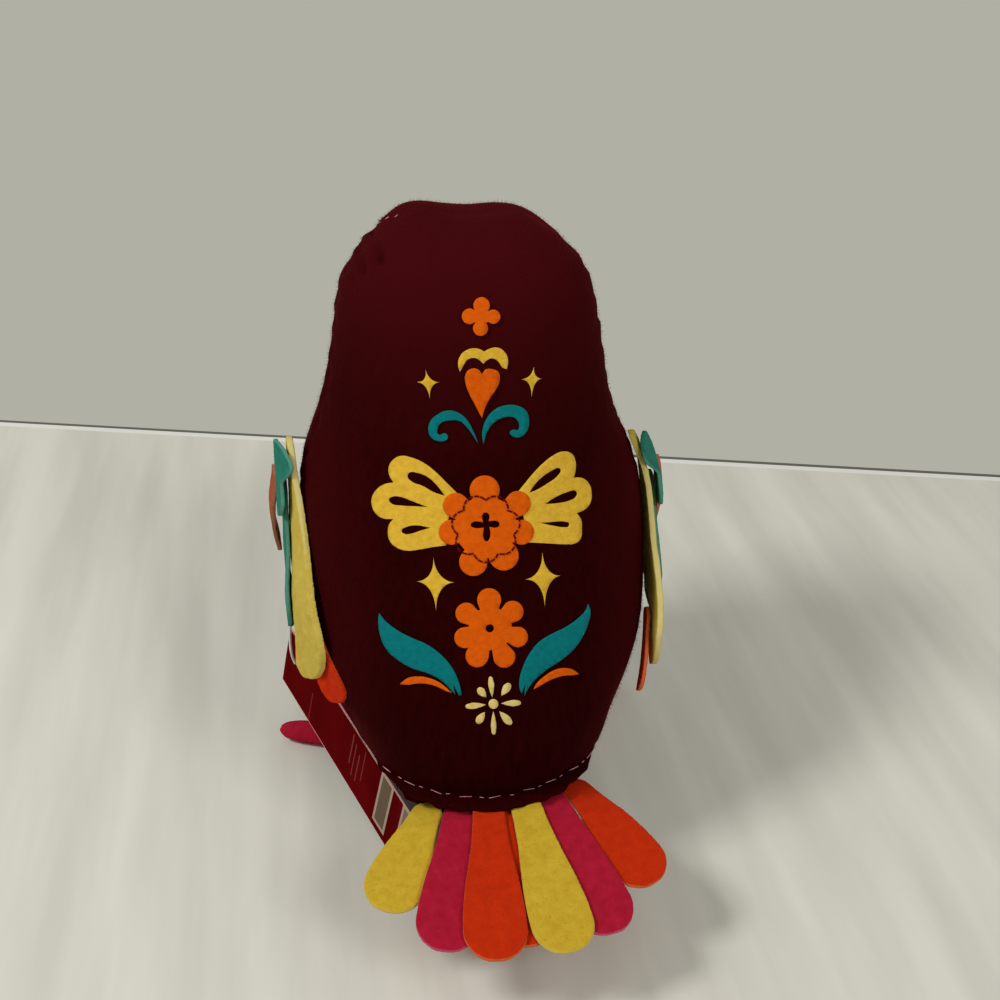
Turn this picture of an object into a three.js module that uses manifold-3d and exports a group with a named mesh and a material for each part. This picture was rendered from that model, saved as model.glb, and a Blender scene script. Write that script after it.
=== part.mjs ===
// A stuffed felt and fleece bird that stands on two padded feet, in millimetres.
// +Z is up, the bird faces -Y, and its left side is +X. The floor is at z = 0.
import * as THREE from 'three';
import { mergeVertices } from 'three/addons/utils/BufferGeometryUtils.js';
import Module from 'manifold-3d';

const wasm = await Module();
wasm.setup();

// Gaps that keep neighbouring pieces apart
const fitGap = 0.3;
const layerGap = 0.2;

// Body, top to bottom: each row is one level of the stuffed form
const bodyTop = 168.5;
const crownStart = 146;
const bodyBottom = 13;
const bellyStart = 30;
const crownPower = 2.6;
const bellyPower = 1.7;
const sectionPower = 2.15;
const bodyLevels = [
  { z: 28, half: 37, back: 48.5, front: -53.5, widest: -1 },
  { z: 40, half: 39.5, back: 52.5, front: -55.5, widest: 0 },
  { z: 54, half: 46.3, back: 50.5, front: -56.5, widest: 0 },
  { z: 70, half: 49, back: 45, front: -56, widest: -2 },
  { z: 86, half: 49, back: 37, front: -54, widest: -6 },
  { z: 102, half: 47.3, back: 28, front: -51.5, widest: -11 },
  { z: 116, half: 40, back: 20.5, front: -50, widest: -15 },
  { z: 130, half: 36, back: 14.5, front: -49.5, widest: -17 },
  { z: 146, half: 34.5, back: 9, front: -50, widest: -19 },
  { z: 168.5, half: 31.5, back: -1, front: -50, widest: -22 },
];
const fleece = 1.2;

// The left flank is drawn in below the wing's top: how far, and the heights where this fades
const flankTuck = 1.7;
const flankTuckEnd = 98;
const flankTuckGone = 112;
const flankReach = 40;

// Seams, seen from the side as [y, z]
const sideSeam = [
  [-1, 20], [-1, 34], [1, 54], [-2, 74], [-8, 96], [-14, 116], [-18, 140], [-22, 158], [-23, 180],
];
const undersideSeamRear = 30.5;
const undersideSeamRise = 0.06;
const seamRearY = 51;

// Pinched rear seam that holds the tail
const lipWidth = 4.2;
const lipSweep = 52;
const lipTaperSweep = 30;
const lipMergeSweep = 12;
const lipSteps = 22;
const lipEndShare = 0.05;

// Tail fan
const tailFelt = 1.2;
const featherTipRadius = 7.9;
const featherRootHalf = 4.2;
const featherSeat = 0.9;
const fanOffset = -3;
const fanPairs = [
  { angle: 11.4, reach: 45.5, rootX: 4.6, layer: 1 },
  { angle: 27.5, reach: 45, rootX: 11.8, layer: 0 },
  { angle: 52, reach: 43.5, rootX: 19, layer: -1 },
];
const tailDroop = 10;
const backingReach = 41;
const backingTipRadius = 6;
const backingRootHalf = 4;

// Wings: felt leaves stacked outward from the body
const wingFelt = 1.3;
const wingMainFelt = 1.8;
const wingStand = 0.4;
const wingSlant = 33;
const shoulderZ = 109.5;
const wingHangZ = 66;
const wingTurnY = -8;
const wingEase = 0.6;
const wingFlareZ = 86;
const wingRoomDepth = 12;
const wingRoomFull = 74;
const wingRoomGone = 92;
const leftWing = {
  shoulderY: -14, lower: 0, slant: -2, hugTop: 97, tuck: flankTuck,
  turn: 22, front: 4, flare: 0, room: 1.9, innerLean: 0,
};
const rightWing = {
  shoulderY: -11, lower: 1, slant: 0, hugTop: 120, tuck: 0,
  turn: 6.5, front: 6.5, flare: 0.025, room: 1, innerLean: 2.6,
};
const wingAcrossSteps = 4;
const leafMiddleSteps = 9;
const wingLayerGap = 0.4;

// Feet and legs
const leftFoot = { side: 1, x: 27, y: -9, splay: 34 };
const rightFoot = { side: -1, x: 30.5, y: -14, splay: 16 };
const toeLength = 31;
const toeRadius = 4;
const toeTipRadius = 3.5;
const heelLength = 19;
const toeSpread = 40;
const ankleRadius = 4.4;
const footFlat = 0.5;
const legWireRadius = 1.0;
const legWireTop = 62;
const legWireFoot = 3.2;

// Weighted filling
const pelletTop = 42;
const fillGap = 0.4;

// Face
const eyeZ = 136;
const eyeX = 17;
const eyeDiscRadius = 7;
const eyeDiscFelt = 1.2;
const eyeBeadRadius = 3.4;
const beakZ = 124;
const beakLength = 13;
const beakHalfWidth = 6;
const beakHalfHeight = 4.5;
const beakHook = 0.02;

// Paper tag on its loop
const tagLength = 80;
const tagWidth = 22;
const tagThick = 0.5;
const tagHoleRadius = 2.6;
const tagHoleFromEnd = 9.5;
const tagHoleFromEdge = 14.5;
const tagCorner = [54.8, -29.8, 13.6];
const tagTurn = 23;
const tagDip = 9;
const tagLean = 6;
const tagLoopRadius = 0.45;
const tagLoopAnchorY = -22;
const tagLoopAnchorZ = 60;
const tagLoopWidth = 10;
const tagLoopOpening = 0.02;

// Larger than the bird, for cutting regions
const farAway = 200;

const rad = THREE.MathUtils.degToRad;
const vec = (x, y, z) => new THREE.Vector3(x, y, z);

// Closed solid through a row of rings; both ends are capped from their middle
function loft(rings) {
  const count = rings[0].length;
  const points = rings.flat();
  const middle = (ring) => ring.reduce((sum, p) => sum.add(p), vec(0, 0, 0)).divideScalar(count);
  points.push(middle(rings[0]), middle(rings[rings.length - 1]));
  const faces = [];
  for (let r = 0; r + 1 < rings.length; r++) {
    for (let i = 0; i < count; i++) {
      const j = (i + 1) % count;
      const a = r * count + i;
      const b = r * count + j;
      faces.push([a, b, b + count], [a, b + count, a + count]);
    }
  }
  const last = (rings.length - 1) * count;
  for (let i = 0; i < count; i++) {
    const j = (i + 1) % count;
    faces.push([points.length - 2, j, i], [points.length - 1, last + i, last + j]);
  }
  const volume = faces.reduce((sum, [a, b, c]) => {
    return sum + points[a].dot(points[b].clone().cross(points[c]));
  }, 0);
  const turned = volume < 0 ? faces.map(([a, b, c]) => [a, c, b]) : faces;
  const geometry = new THREE.BufferGeometry();
  const places = points.flatMap((p) => p.toArray());
  geometry.setAttribute('position', new THREE.Float32BufferAttribute(places, 3));
  geometry.setIndex(turned.flat());
  geometry.computeVertexNormals();
  return geometry;
}

function solid(geometry) {
  const bare = geometry.clone();
  bare.deleteAttribute('normal');
  bare.deleteAttribute('uv');
  const merged = mergeVertices(bare, 1e-5);
  return new wasm.Manifold(new wasm.Mesh({
    numProp: 3,
    vertProperties: new Float32Array(merged.attributes.position.array),
    triVerts: new Uint32Array(merged.index.array),
  }));
}

function toGeometry(manifold) {
  const mesh = manifold.getMesh();
  const geometry = new THREE.BufferGeometry();
  geometry.setAttribute('position', new THREE.BufferAttribute(mesh.vertProperties, 3));
  geometry.setIndex(new THREE.BufferAttribute(mesh.triVerts, 1));
  geometry.computeVertexNormals();
  return geometry;
}

// Smooth value of one column of bodyLevels at height z
function levelValue(key, z) {
  const rows = bodyLevels;
  const at = THREE.MathUtils.clamp(z, rows[0].z, rows[rows.length - 1].z);
  let i = 0;
  while (i + 2 < rows.length && at > rows[i + 1].z) i++;
  const slope = (n) => {
    const low = rows[Math.max(n - 1, 0)];
    const high = rows[Math.min(n + 1, rows.length - 1)];
    return (high[key] - low[key]) / (high.z - low.z);
  };
  const span = rows[i + 1].z - rows[i].z;
  const t = (at - rows[i].z) / span;
  const rise = rows[i + 1][key] - rows[i][key];
  const a = slope(i) * span - rise;
  const b = rise - slope(i + 1) * span;
  return rows[i][key] + rise * t + t * (1 - t) * (a * (1 - t) + b * t);
}

// Half width, back, front and widest place of the body at height z, drawn in by inset
function bodyLevel(z, inset = 0) {
  const up = Math.max(0, (z - crownStart) / (bodyTop - inset - crownStart));
  const down = Math.max(0, (bellyStart - z) / (bellyStart - bodyBottom - inset));
  const round = (t, power) => Math.pow(Math.max(0, 1 - Math.pow(t, power)), 1 / power);
  const share = round(up, crownPower) * round(down, bellyPower);
  const widest = levelValue('widest', z);
  return {
    z,
    widest,
    half: (levelValue('half', z) - inset) * share,
    back: widest + (levelValue('back', z) - inset - widest) * share,
    front: widest + (levelValue('front', z) + inset - widest) * share,
  };
}

// How far the left flank is drawn in at height z
function leftTuck(x, z) {
  const { smoothstep } = THREE.MathUtils;
  return flankTuck * smoothstep(x, 0, flankReach) * (1 - smoothstep(z, flankTuckEnd, flankTuckGone));
}

function bodyPoint(level, angle) {
  const c = Math.cos(angle);
  const s = Math.sin(angle);
  const power = 2 / sectionPower;
  const across = Math.sign(c) * Math.pow(Math.abs(c), power);
  const along = Math.sign(s) * Math.pow(Math.abs(s), power);
  const reach = along > 0 ? level.back - level.widest : level.widest - level.front;
  const x = level.half * across;
  return vec(x - leftTuck(x, level.z), level.widest + reach * along, level.z);
}

// Levels crowd towards the crown and the belly, where the form rounds off
function bodyHeights(inset, sides, crownSteps, bellySteps) {
  const heights = [];
  for (let i = 0; i < bellySteps; i++) {
    const turn = Math.cos((i / bellySteps) * Math.PI / 2);
    heights.push(bellyStart - (bellyStart - bodyBottom - inset) * turn);
  }
  for (let i = 0; i <= sides; i++) heights.push(bellyStart + (crownStart - bellyStart) * i / sides);
  for (let i = 1; i <= crownSteps; i++) {
    const turn = Math.sin((i / crownSteps) * Math.PI / 2);
    heights.push(crownStart + (bodyTop - inset - crownStart) * turn);
  }
  return heights;
}

function bodyForm(inset, points = 32, sides = 11, crownSteps = 6, bellySteps = 5) {
  const rings = bodyHeights(inset, sides, crownSteps, bellySteps).map((z, n, all) => {
    const level = bodyLevel(z, inset);
    // the outermost rings keep a small size, so that the caps stay flat discs
    const least = n === 0 || n === all.length - 1 ? 0.12 : 0;
    const half = Math.max(level.half, least * levelValue('half', z));
    const back = Math.max(level.back, level.widest + least * (levelValue('back', z) - level.widest));
    const front = Math.min(level.front, level.widest + least * (levelValue('front', z) - level.widest));
    const kept = { ...level, half, back, front };
    return Array.from({ length: points }, (_, i) => bodyPoint(kept, i * 2 * Math.PI / points));
  });
  return solid(loft(rings));
}

// Region of the side view, [y, z] outline, cut straight across the bird
function acrossRegion(outline) {
  const shape = new THREE.Shape(outline.map(([y, z]) => new THREE.Vector2(y, z)));
  const geometry = new THREE.ExtrudeGeometry(shape, { depth: 2 * farAway, bevelEnabled: false });
  geometry.applyMatrix4(new THREE.Matrix4().set(0, 0, 1, -farAway, 1, 0, 0, 0, 0, 1, 0, 0, 0, 0, 0, 1));
  return solid(geometry);
}

// Thin slot along a line of the side view
function acrossSlot(line, width) {
  const side = (sign) => line.map(([y, z], n) => {
    const before = line[Math.max(n - 1, 0)];
    const after = line[Math.min(n + 1, line.length - 1)];
    const length = Math.hypot(after[0] - before[0], after[1] - before[1]);
    const out = sign * width / 2 / length;
    return [y - (after[1] - before[1]) * out, z + (after[0] - before[0]) * out];
  });
  return acrossRegion([...side(1), ...side(-1).reverse()]);
}

const seamZ = (y) => undersideSeamRear + undersideSeamRise * (y - seamRearY);
const block = (back, low, high) => {
  return acrossRegion([[-farAway, low], [back, low], [back, high], [-farAway, high]]);
};
const slab = (low, high) => block(farAway, low, high);

// A round bar upright in z
function upright(radius, x, y, low, high, points = 12) {
  const ring = (z) => Array.from({ length: points }, (_, i) => {
    const turn = i * 2 * Math.PI / points;
    return vec(x + radius * Math.cos(turn), y + radius * Math.sin(turn), z);
  });
  return solid(loft([ring(low), ring(high)]));
}

// Fabric panels: one shell, parted along its seams
const outerBody = bodyForm(0);
const bodyClear = bodyForm(-fitGap);
const fabricShell = outerBody.subtract(bodyForm(fleece));
const undersideLine = [[-farAway, seamZ(-farAway)], [farAway, seamZ(farAway)]];
const parted = fabricShell
  .subtract(acrossSlot(undersideLine, fitGap))
  .subtract(acrossSlot(sideSeam, fitGap));
const belowSeam = acrossRegion([...undersideLine, [farAway, -farAway], [-farAway, -farAway]]);
const behindSeam = acrossRegion([[farAway, -farAway], [farAway, 3 * farAway], ...sideSeam.toReversed()]);
const legHoles = [leftFoot, rightFoot].map(({ side, x, y }) => {
  return upright(legWireRadius + fitGap, side * x, y, -1, legWireTop + fitGap);
});

// One side of the pinched rear seam: it opens round the feather roots and closes at its ends
const tailStack = 3 * tailFelt + 4 * layerGap;
function seamLip(side) {
  const rings = [];
  for (let n = 0; n <= lipSteps; n++) {
    const turn = rad(90 + lipSweep * (2 * n / lipSteps - 1));
    const edge = (angle, height = 0) => bodyPoint(bodyLevel(undersideSeamRear + side * height), angle);
    const along = edge(turn + 0.01).sub(edge(turn - 0.01)).normalize();
    const out = vec(along.y, -along.x, 0);
    const fromEnd = lipSweep - Math.abs(THREE.MathUtils.radToDeg(turn) - 90);
    const open = THREE.MathUtils.smoothstep(fromEnd, 0, lipMergeSweep);
    const low = fitGap / 2 + open * (tailStack / 2 - fitGap / 2);
    const corner = (from, reach, height) => {
      const p = from.clone().addScaledVector(out, reach);
      return p.setZ(seamZ(p.y) + side * height);
    };
    const wall = edge(turn, low + fleece / 2);
    const rim = edge(turn);
    const taper = THREE.MathUtils.smoothstep(fromEnd, 0, lipTaperSweep);
    const width = lipWidth * THREE.MathUtils.lerp(lipEndShare, 1, taper);
    rings.push([
      corner(wall, -fleece / 2, low), corner(rim, width, low),
      corner(rim, width, low + fleece), corner(wall, -fleece / 2, low + fleece),
    ]);
  }
  return solid(loft(rings));
}

const backPanel = parted.intersect(behindSeam).subtract(belowSeam).add(seamLip(1));
const frontPanel = parted.subtract(behindSeam).subtract(belowSeam);
const undersidePanel = parted.intersect(belowSeam).add(seamLip(-1))
  .subtract(legHoles[0]).subtract(legHoles[1]);

// Filling: loose fibre above, a bag of pellets for weight below
const fillSpace = bodyForm(fleece + fillGap)
  .subtract(legHoles[0]).subtract(legHoles[1]);
const stuffing = fillSpace.subtract(slab(-farAway, pelletTop + fillGap / 2));
const pelletBag = fillSpace.intersect(slab(-farAway, pelletTop - fillGap / 2));

// Half width of a felt leaf that is round at both ends, at distance s from its root
function leafHalf(s, leaf) {
  const { length, root, tip } = leaf;
  if (s < root) return Math.sqrt(Math.max(0, root ** 2 - (root - s) ** 2));
  if (s > length - tip) return Math.sqrt(Math.max(0, tip ** 2 - (s - length + tip) ** 2));
  return THREE.MathUtils.lerp(root, tip, THREE.MathUtils.smoothstep(s, root, length - tip));
}

// Distances along a leaf, closer together at its round ends
function leafSteps({ length, root, tip }) {
  const quarter = [0.06, 0.3, 0.62, 1];
  const middle = Array.from({ length: leafMiddleSteps - 1 }, (_, i) => {
    return THREE.MathUtils.lerp(root, length - tip, (i + 1) / leafMiddleSteps);
  });
  const far = quarter.map((q) => length - tip * q).reverse();
  return [...quarter.map((q) => root * q), ...middle, ...far];
}

// Tail feather, flat in its layer and bent down behind the lips
const rearLevel = bodyLevel(undersideSeamRear);
function rearEdge(x) {
  const share = Math.pow(1 - Math.pow(Math.abs(x) / rearLevel.half, sectionPower), 1 / sectionPower);
  return rearLevel.widest + (rearLevel.back - rearLevel.widest) * share;
}

function tailLeaf(rootX, angle, reach, rootHalf, tipRadius, layer) {
  const from = vec(fanOffset + rootX, rearEdge(fanOffset + rootX) + featherSeat, 0);
  const to = vec(fanOffset + reach * Math.sin(angle), seamRearY + reach * Math.cos(angle), 0);
  const length = from.distanceTo(to);
  const along = to.clone().sub(from).normalize();
  const across = vec(along.y, -along.x, 0);
  const leaf = { length, root: rootHalf, tip: tipRadius };
  const middle = layer * (tailFelt + layerGap);
  const rings = leafSteps(leaf).map((s) => {
    const half = leafHalf(s, leaf);
    return [[-1, -1], [1, -1], [1, 1], [-1, 1]].map(([side, face]) => {
      const p = from.clone().addScaledVector(along, s).addScaledVector(across, side * half);
      return p.setZ(middle + face * tailFelt / 2);
    });
  });
  const flat = solid(loft(rings));
  const bendY = seamRearY + lipWidth + fitGap;
  const before = block(bendY, -tailStack, tailStack);
  const shear = (slope) => new THREE.Matrix4()
    .set(1, 0, 0, 0, 0, 1, 0, 0, 0, slope, 1, -slope * bendY, 0, 0, 0, 1);
  const root = toGeometry(flat.intersect(before)).applyMatrix4(shear(undersideSeamRise));
  const blade = toGeometry(flat.subtract(before)).applyMatrix4(shear(-Math.tan(rad(tailDroop))));
  return toGeometry(solid(root).add(solid(blade))).translate(0, 0, seamZ(bendY));
}

// Half width of the body at depth y of one level
function bodySide(level, y) {
  const reach = y > level.widest ? level.back - level.widest : level.widest - level.front;
  const share = Math.min(Math.abs(y - level.widest) / reach, 1);
  return level.half * Math.pow(1 - Math.pow(share, sectionPower), 1 / sectionPower);
}

// Inner face of a folded wing: turned in to the back, held off by the body and the feather under it
function wingFace(y, z, wing) {
  const { smoothstep } = THREE.MathUtils;
  const level = bodyLevel(THREE.MathUtils.clamp(z, wingHangZ, wing.hugTop));
  const behind = y - wingTurnY;
  const flat = level.half - Math.tan(rad(behind > 0 ? wing.turn : wing.front)) * behind
    + wing.flare * Math.max(0, wingFlareZ - z);
  const body = bodySide(level, y);
  const room = wing.room * smoothstep(y, 0, wingRoomDepth) * (1 - smoothstep(z, wingRoomFull, wingRoomGone));
  return (flat + body + Math.hypot(flat - body, wingEase)) / 2 + wingStand + room - wing.tuck;
}

function wingLeaf({ y, z, slant, length, root, tip, lift, inner = false, felt = wingFelt }, wing) {
  const leaf = { length, root, tip };
  const tilt = rad(slant + wing.slant);
  const down = vec(0, Math.sin(tilt), -Math.cos(tilt));
  const across = vec(0, down.z, -down.y).negate();
  const rings = leafSteps(leaf).map((s) => {
    const half = leafHalf(s, leaf);
    const point = (share, out) => {
      const p = vec(0, wing.shoulderY + y, shoulderZ - wing.lower + z);
      p.addScaledVector(down, s).addScaledVector(across, share * half);
      const lean = inner ? wing.innerLean * (s / length) ** 2 : 0;
      return p.setX(wingFace(p.y, p.z, wing) + lift - lean + out);
    };
    const shares = Array.from({ length: wingAcrossSteps + 1 }, (_, i) => 2 * i / wingAcrossSteps - 1);
    const innerSide = shares.map((share) => point(share, 0));
    const outerSide = shares.map((share) => point(share, felt));
    return [...innerSide, ...outerSide.reverse()];
  });
  return loft(rings);
}

// Foot: three toes, a heel toe and the padded leg, in one sewn piece
function footToe({ x, y }, angle, length, startRadius) {
  const out = vec(Math.sin(rad(angle)), -Math.cos(rad(angle)), 0);
  const side = vec(-out.y, out.x, 0);
  const profile = [
    [0, startRadius], [0.22, 0.94 * toeRadius], [0.46, toeRadius], [0.62, 0.95 * toeRadius],
    [0.8, toeTipRadius], [0.92, 0.78 * toeTipRadius], [0.98, 0.45 * toeTipRadius], [1, 0.15 * toeTipRadius],
  ];
  const rings = profile.map(([share, radius]) => {
    const middle = vec(x, y, toeRadius - footFlat).addScaledVector(out, share * length);
    return Array.from({ length: 10 }, (_, i) => {
      const turn = i * Math.PI / 5;
      return middle.clone().addScaledVector(side, radius * Math.cos(turn))
        .add(vec(0, 0, radius * Math.sin(turn)));
    });
  });
  return solid(loft(rings));
}

function foot(place) {
  const { side, x, y, splay } = place;
  const leg = [[1, 3.2], [3, 4.6], [6, ankleRadius], [10, ankleRadius], [bellyStart, 1.25 * ankleRadius]];
  const rings = leg.map(([z, radius]) => Array.from({ length: 12 }, (_, i) => {
    const turn = i * Math.PI / 6;
    return vec(x + radius * Math.cos(turn), y + radius * Math.sin(turn), z);
  }));
  const sleeve = solid(loft(rings));
  const toes = [-1, 0, 1].map((n) => footToe(place, splay + n * toeSpread, toeLength, toeRadius));
  const heel = footToe(place, splay + 180, heelLength, toeRadius);
  const sewn = [...toes, heel].reduce((sum, toe) => sum.add(toe), sleeve)
    .subtract(slab(-farAway, 0))
    .subtract(upright(legWireRadius + fitGap, x, y, legWireFoot - fitGap, bellyStart + 1));
  const placed = side > 0 ? sewn : sewn.mirror([1, 0, 0]);
  return toGeometry(placed.subtract(bodyClear));
}

const legWire = ({ side, x, y }) => upright(legWireRadius, side * x, y, legWireFoot, legWireTop);

// Face: felt eye discs and a stuffed beak follow the curve of the head
const discForm = bodyForm(-(fitGap + eyeDiscFelt));
const beadClear = bodyForm(-(2 * fitGap + eyeDiscFelt));

function facePoint(x, z) {
  const level = bodyLevel(z);
  const share = Math.pow(1 - Math.pow(Math.abs(x) / level.half, sectionPower), 1 / sectionPower);
  return vec(x, level.widest - (level.widest - level.front) * share, z);
}

function alongFace(x, z, radius, points) {
  const at = facePoint(x, z);
  const next = facePoint(x + 0.5, z);
  const out = vec(next.y - at.y, -(next.x - at.x), 0).normalize();
  const side = vec(-out.y, out.x, 0);
  const ring = (reach) => Array.from({ length: points }, (_, i) => {
    const turn = i * 2 * Math.PI / points;
    return at.clone().addScaledVector(out, reach).addScaledVector(side, radius * Math.cos(turn))
      .add(vec(0, 0, radius * Math.sin(turn)));
  });
  return { at, out, bar: solid(loft([ring(-6), ring(6)])) };
}

const eyeDisc = (x) => alongFace(x, eyeZ, eyeDiscRadius, 20).bar.intersect(discForm).subtract(bodyClear);

function eyeBead(x) {
  const { at, out } = alongFace(x, eyeZ, eyeBeadRadius, 8);
  const middle = at.addScaledVector(out, 2 * fitGap + eyeDiscFelt);
  const bead = new THREE.SphereGeometry(eyeBeadRadius, 14, 10).translate(middle.x, middle.y, middle.z);
  return solid(bead).subtract(beadClear);
}

function beak() {
  const at = facePoint(0, beakZ);
  const rows = [[-3, 1], [0, 1], [0.3, 0.93], [0.6, 0.66], [0.85, 0.34], [1, 0.08]];
  const rings = rows.map(([share, size]) => {
    const reach = share < 0 ? share : share * beakLength;
    const drop = Math.max(0, reach) ** 2 * beakHook;
    return Array.from({ length: 12 }, (_, i) => {
      const turn = i * Math.PI / 6;
      const across = beakHalfWidth * size * Math.cos(turn);
      return vec(across, at.y - reach, beakZ - drop + beakHalfHeight * size * Math.sin(turn));
    });
  });
  return solid(loft(rings)).subtract(bodyClear);
}

// Tag: its long side runs back and dips to the floor, its short side stands nearly upright
const tagAlong = vec(-Math.sin(rad(tagTurn)), Math.cos(rad(tagTurn)), -Math.tan(rad(tagDip))).normalize();
const tagUp = vec(0, 0, 1).addScaledVector(tagAlong, -tagAlong.z).normalize();
const tagOut = tagUp.clone().cross(tagAlong).negate();
tagUp.applyAxisAngle(tagAlong, rad(-tagLean));
tagOut.applyAxisAngle(tagAlong, rad(-tagLean));
const tagPoint = (along, up, out = 0) => vec(...tagCorner).addScaledVector(tagAlong, along)
  .addScaledVector(tagUp, up).addScaledVector(tagOut, out);

function tagCard() {
  const shape = new THREE.Shape([[0, 0], [tagLength, 0], [tagLength, tagWidth], [0, tagWidth]]
    .map(([u, v]) => new THREE.Vector2(u, v)));
  const hole = new THREE.Path().absarc(tagHoleFromEnd, tagHoleFromEdge, tagHoleRadius, 0, 2 * Math.PI);
  shape.holes.push(hole);
  const cut = { depth: tagThick, bevelEnabled: false, curveSegments: 16 };
  const geometry = new THREE.ExtrudeGeometry(shape, cut);
  const place = new THREE.Matrix4().makeBasis(tagAlong, tagUp, tagAlong.clone().cross(tagUp));
  return geometry.applyMatrix4(place.setPosition(...tagCorner));
}

// The loop goes through the hole and up to the side of the body, where its two ends are sewn in
class LoopCurve extends THREE.Curve {
  constructor(hole, anchor) {
    super();
    this.middle = hole.clone().add(anchor).multiplyScalar(0.5);
    this.long = anchor.clone().sub(hole).multiplyScalar(0.5);
    this.wide = tagOut.clone().projectOnPlane(this.long.clone().normalize()).setLength(tagLoopWidth / 2);
  }

  getPoint(t, target = vec(0, 0, 0)) {
    const turn = 2 * Math.PI * THREE.MathUtils.lerp(tagLoopOpening, 1 - tagLoopOpening, t);
    return target.copy(this.middle).addScaledVector(this.long, Math.cos(turn))
      .addScaledVector(this.wide, Math.sin(turn));
  }
}

function tagLoop() {
  const hole = tagPoint(tagHoleFromEnd, tagHoleFromEdge, tagThick / 2);
  const level = bodyLevel(tagLoopAnchorZ);
  const anchor = vec(bodySide(level, tagLoopAnchorY), tagLoopAnchorY, tagLoopAnchorZ);
  anchor.x += tagLoopRadius + 3 * fitGap - leftTuck(anchor.x, anchor.z);
  const shape = new THREE.Shape().absarc(0, 0, tagLoopRadius, 0, 2 * Math.PI);
  const extrudePath = new LoopCurve(hole, anchor);
  return new THREE.ExtrudeGeometry(shape, { steps: 28, extrudePath, curveSegments: 3, bevelEnabled: false });
}

const felt = (color) => new THREE.MeshStandardMaterial({ color, roughness: 0.95, metalness: 0 });
const burgundyFleece = felt(0x4a0b14);
const yellowFelt = felt(0xd2b43c);
const pinkFelt = felt(0xc3234a);
const orangeFelt = felt(0xd2450f);
const tealFelt = felt(0x1f7f6f);
const coralFelt = felt(0xc8563a);
const whiteFibre = felt(0xe9e6de);
const pelletCloth = felt(0xd8d2c4);
const steel = new THREE.MeshStandardMaterial({ color: 0x9a9a9c, roughness: 0.35, metalness: 1 });
const blackBead = new THREE.MeshStandardMaterial({ color: 0x0b0b0d, roughness: 0.12, metalness: 0 });
const tagPaper = new THREE.MeshStandardMaterial({ color: 0x6b1018, roughness: 0.5, metalness: 0 });
const clearNylon = new THREE.MeshStandardMaterial({ color: 0xe6e2da, roughness: 0.3, metalness: 0 });

const bird = new THREE.Group();
function add(name, geometry, material, place = bird) {
  const mesh = new THREE.Mesh(geometry, material);
  mesh.name = name;
  place.add(mesh);
}

add('back_panel', toGeometry(backPanel), burgundyFleece);
add('front_panel', toGeometry(frontPanel), burgundyFleece);
add('underside_panel', toGeometry(undersidePanel), burgundyFleece);
add('stuffing', toGeometry(stuffing), whiteFibre);
add('pellet_bag', toGeometry(pelletBag), pelletCloth);

// Tail, from the bird's left to its right; the two middle feathers lie on top
const featherFelts = [yellowFelt, pinkFelt, orangeFelt, yellowFelt, pinkFelt, orangeFelt];
featherFelts.forEach((material, n) => {
  const side = n < fanPairs.length ? 1 : -1;
  const { angle, reach, rootX, layer } = fanPairs[side > 0 ? fanPairs.length - 1 - n : n - fanPairs.length];
  const leaf = tailLeaf(side * rootX, side * rad(angle), reach, featherRootHalf, featherTipRadius, layer);
  add(`tail_feather_${n + 1}`, leaf, material);
});
add('tail_backing_feather', tailLeaf(0, 0, backingReach, backingRootHalf, backingTipRadius, 0), orangeFelt);

// Wing leaves, from the body outward; the right wing mirrors the left
const outerLift = (n) => wingMainFelt + wingLayerGap + n * (wingFelt + wingLayerGap);
const wingLeaves = [
  {
    name: 'inner_feather', material: orangeFelt, y: 30, z: -39.5, slant: wingSlant,
    length: 23, root: 4, tip: 5.5, lift: -wingFelt - 1.5 * wingLayerGap, inner: true,
  },
  {
    name: 'main_leaf', material: yellowFelt, y: 0, z: 0, slant: wingSlant,
    length: 66, root: 7, tip: 13, lift: 0, felt: wingMainFelt,
  },
  {
    name: 'covert_leaf', material: tealFelt, y: 1, z: -12.5, slant: 30,
    length: 41, root: 5, tip: 8.5, lift: outerLift(0),
  },
  {
    name: 'shoulder_leaf', material: tealFelt, y: 2, z: 0.5, slant: 27,
    length: 21, root: 6.5, tip: 4, lift: outerLift(1),
  },
  {
    name: 'outer_leaf', material: coralFelt, y: -14, z: -9.5, slant: 22,
    length: 31, root: 4, tip: 6, lift: outerLift(1),
  },
];
for (const { name, material, ...leaf } of wingLeaves) {
  add(`left_wing_${name}`, wingLeaf(leaf, leftWing), material);
  add(`right_wing_${name}`, toGeometry(solid(wingLeaf(leaf, rightWing)).mirror([1, 0, 0])), material);
}

add('left_foot', foot(leftFoot), pinkFelt);
add('right_foot', foot(rightFoot), pinkFelt);
add('left_leg_wire', toGeometry(legWire(leftFoot)), steel);
add('right_leg_wire', toGeometry(legWire(rightFoot)), steel);

add('left_eye_disc', toGeometry(eyeDisc(eyeX)), yellowFelt);
add('right_eye_disc', toGeometry(eyeDisc(-eyeX)), yellowFelt);
add('left_eye_bead', toGeometry(eyeBead(eyeX)), blackBead);
add('right_eye_bead', toGeometry(eyeBead(-eyeX)), blackBead);
add('beak', toGeometry(beak()), yellowFelt);

add('tag_card', tagCard(), tagPaper);
add('tag_loop', tagLoop(), clearNylon);

// The origin is the middle of the bird's footprint box, on the floor
const extent = new THREE.Box3().setFromObject(bird);
const middle = extent.getCenter(vec(0, 0, 0));
bird.position.set(-middle.x, -middle.y, -extent.min.z);

export default bird;
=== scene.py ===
import bisect
import math
import random
import bpy
from mathutils import Matrix, Vector, noise
from mathutils.bvhtree import BVHTree


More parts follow.
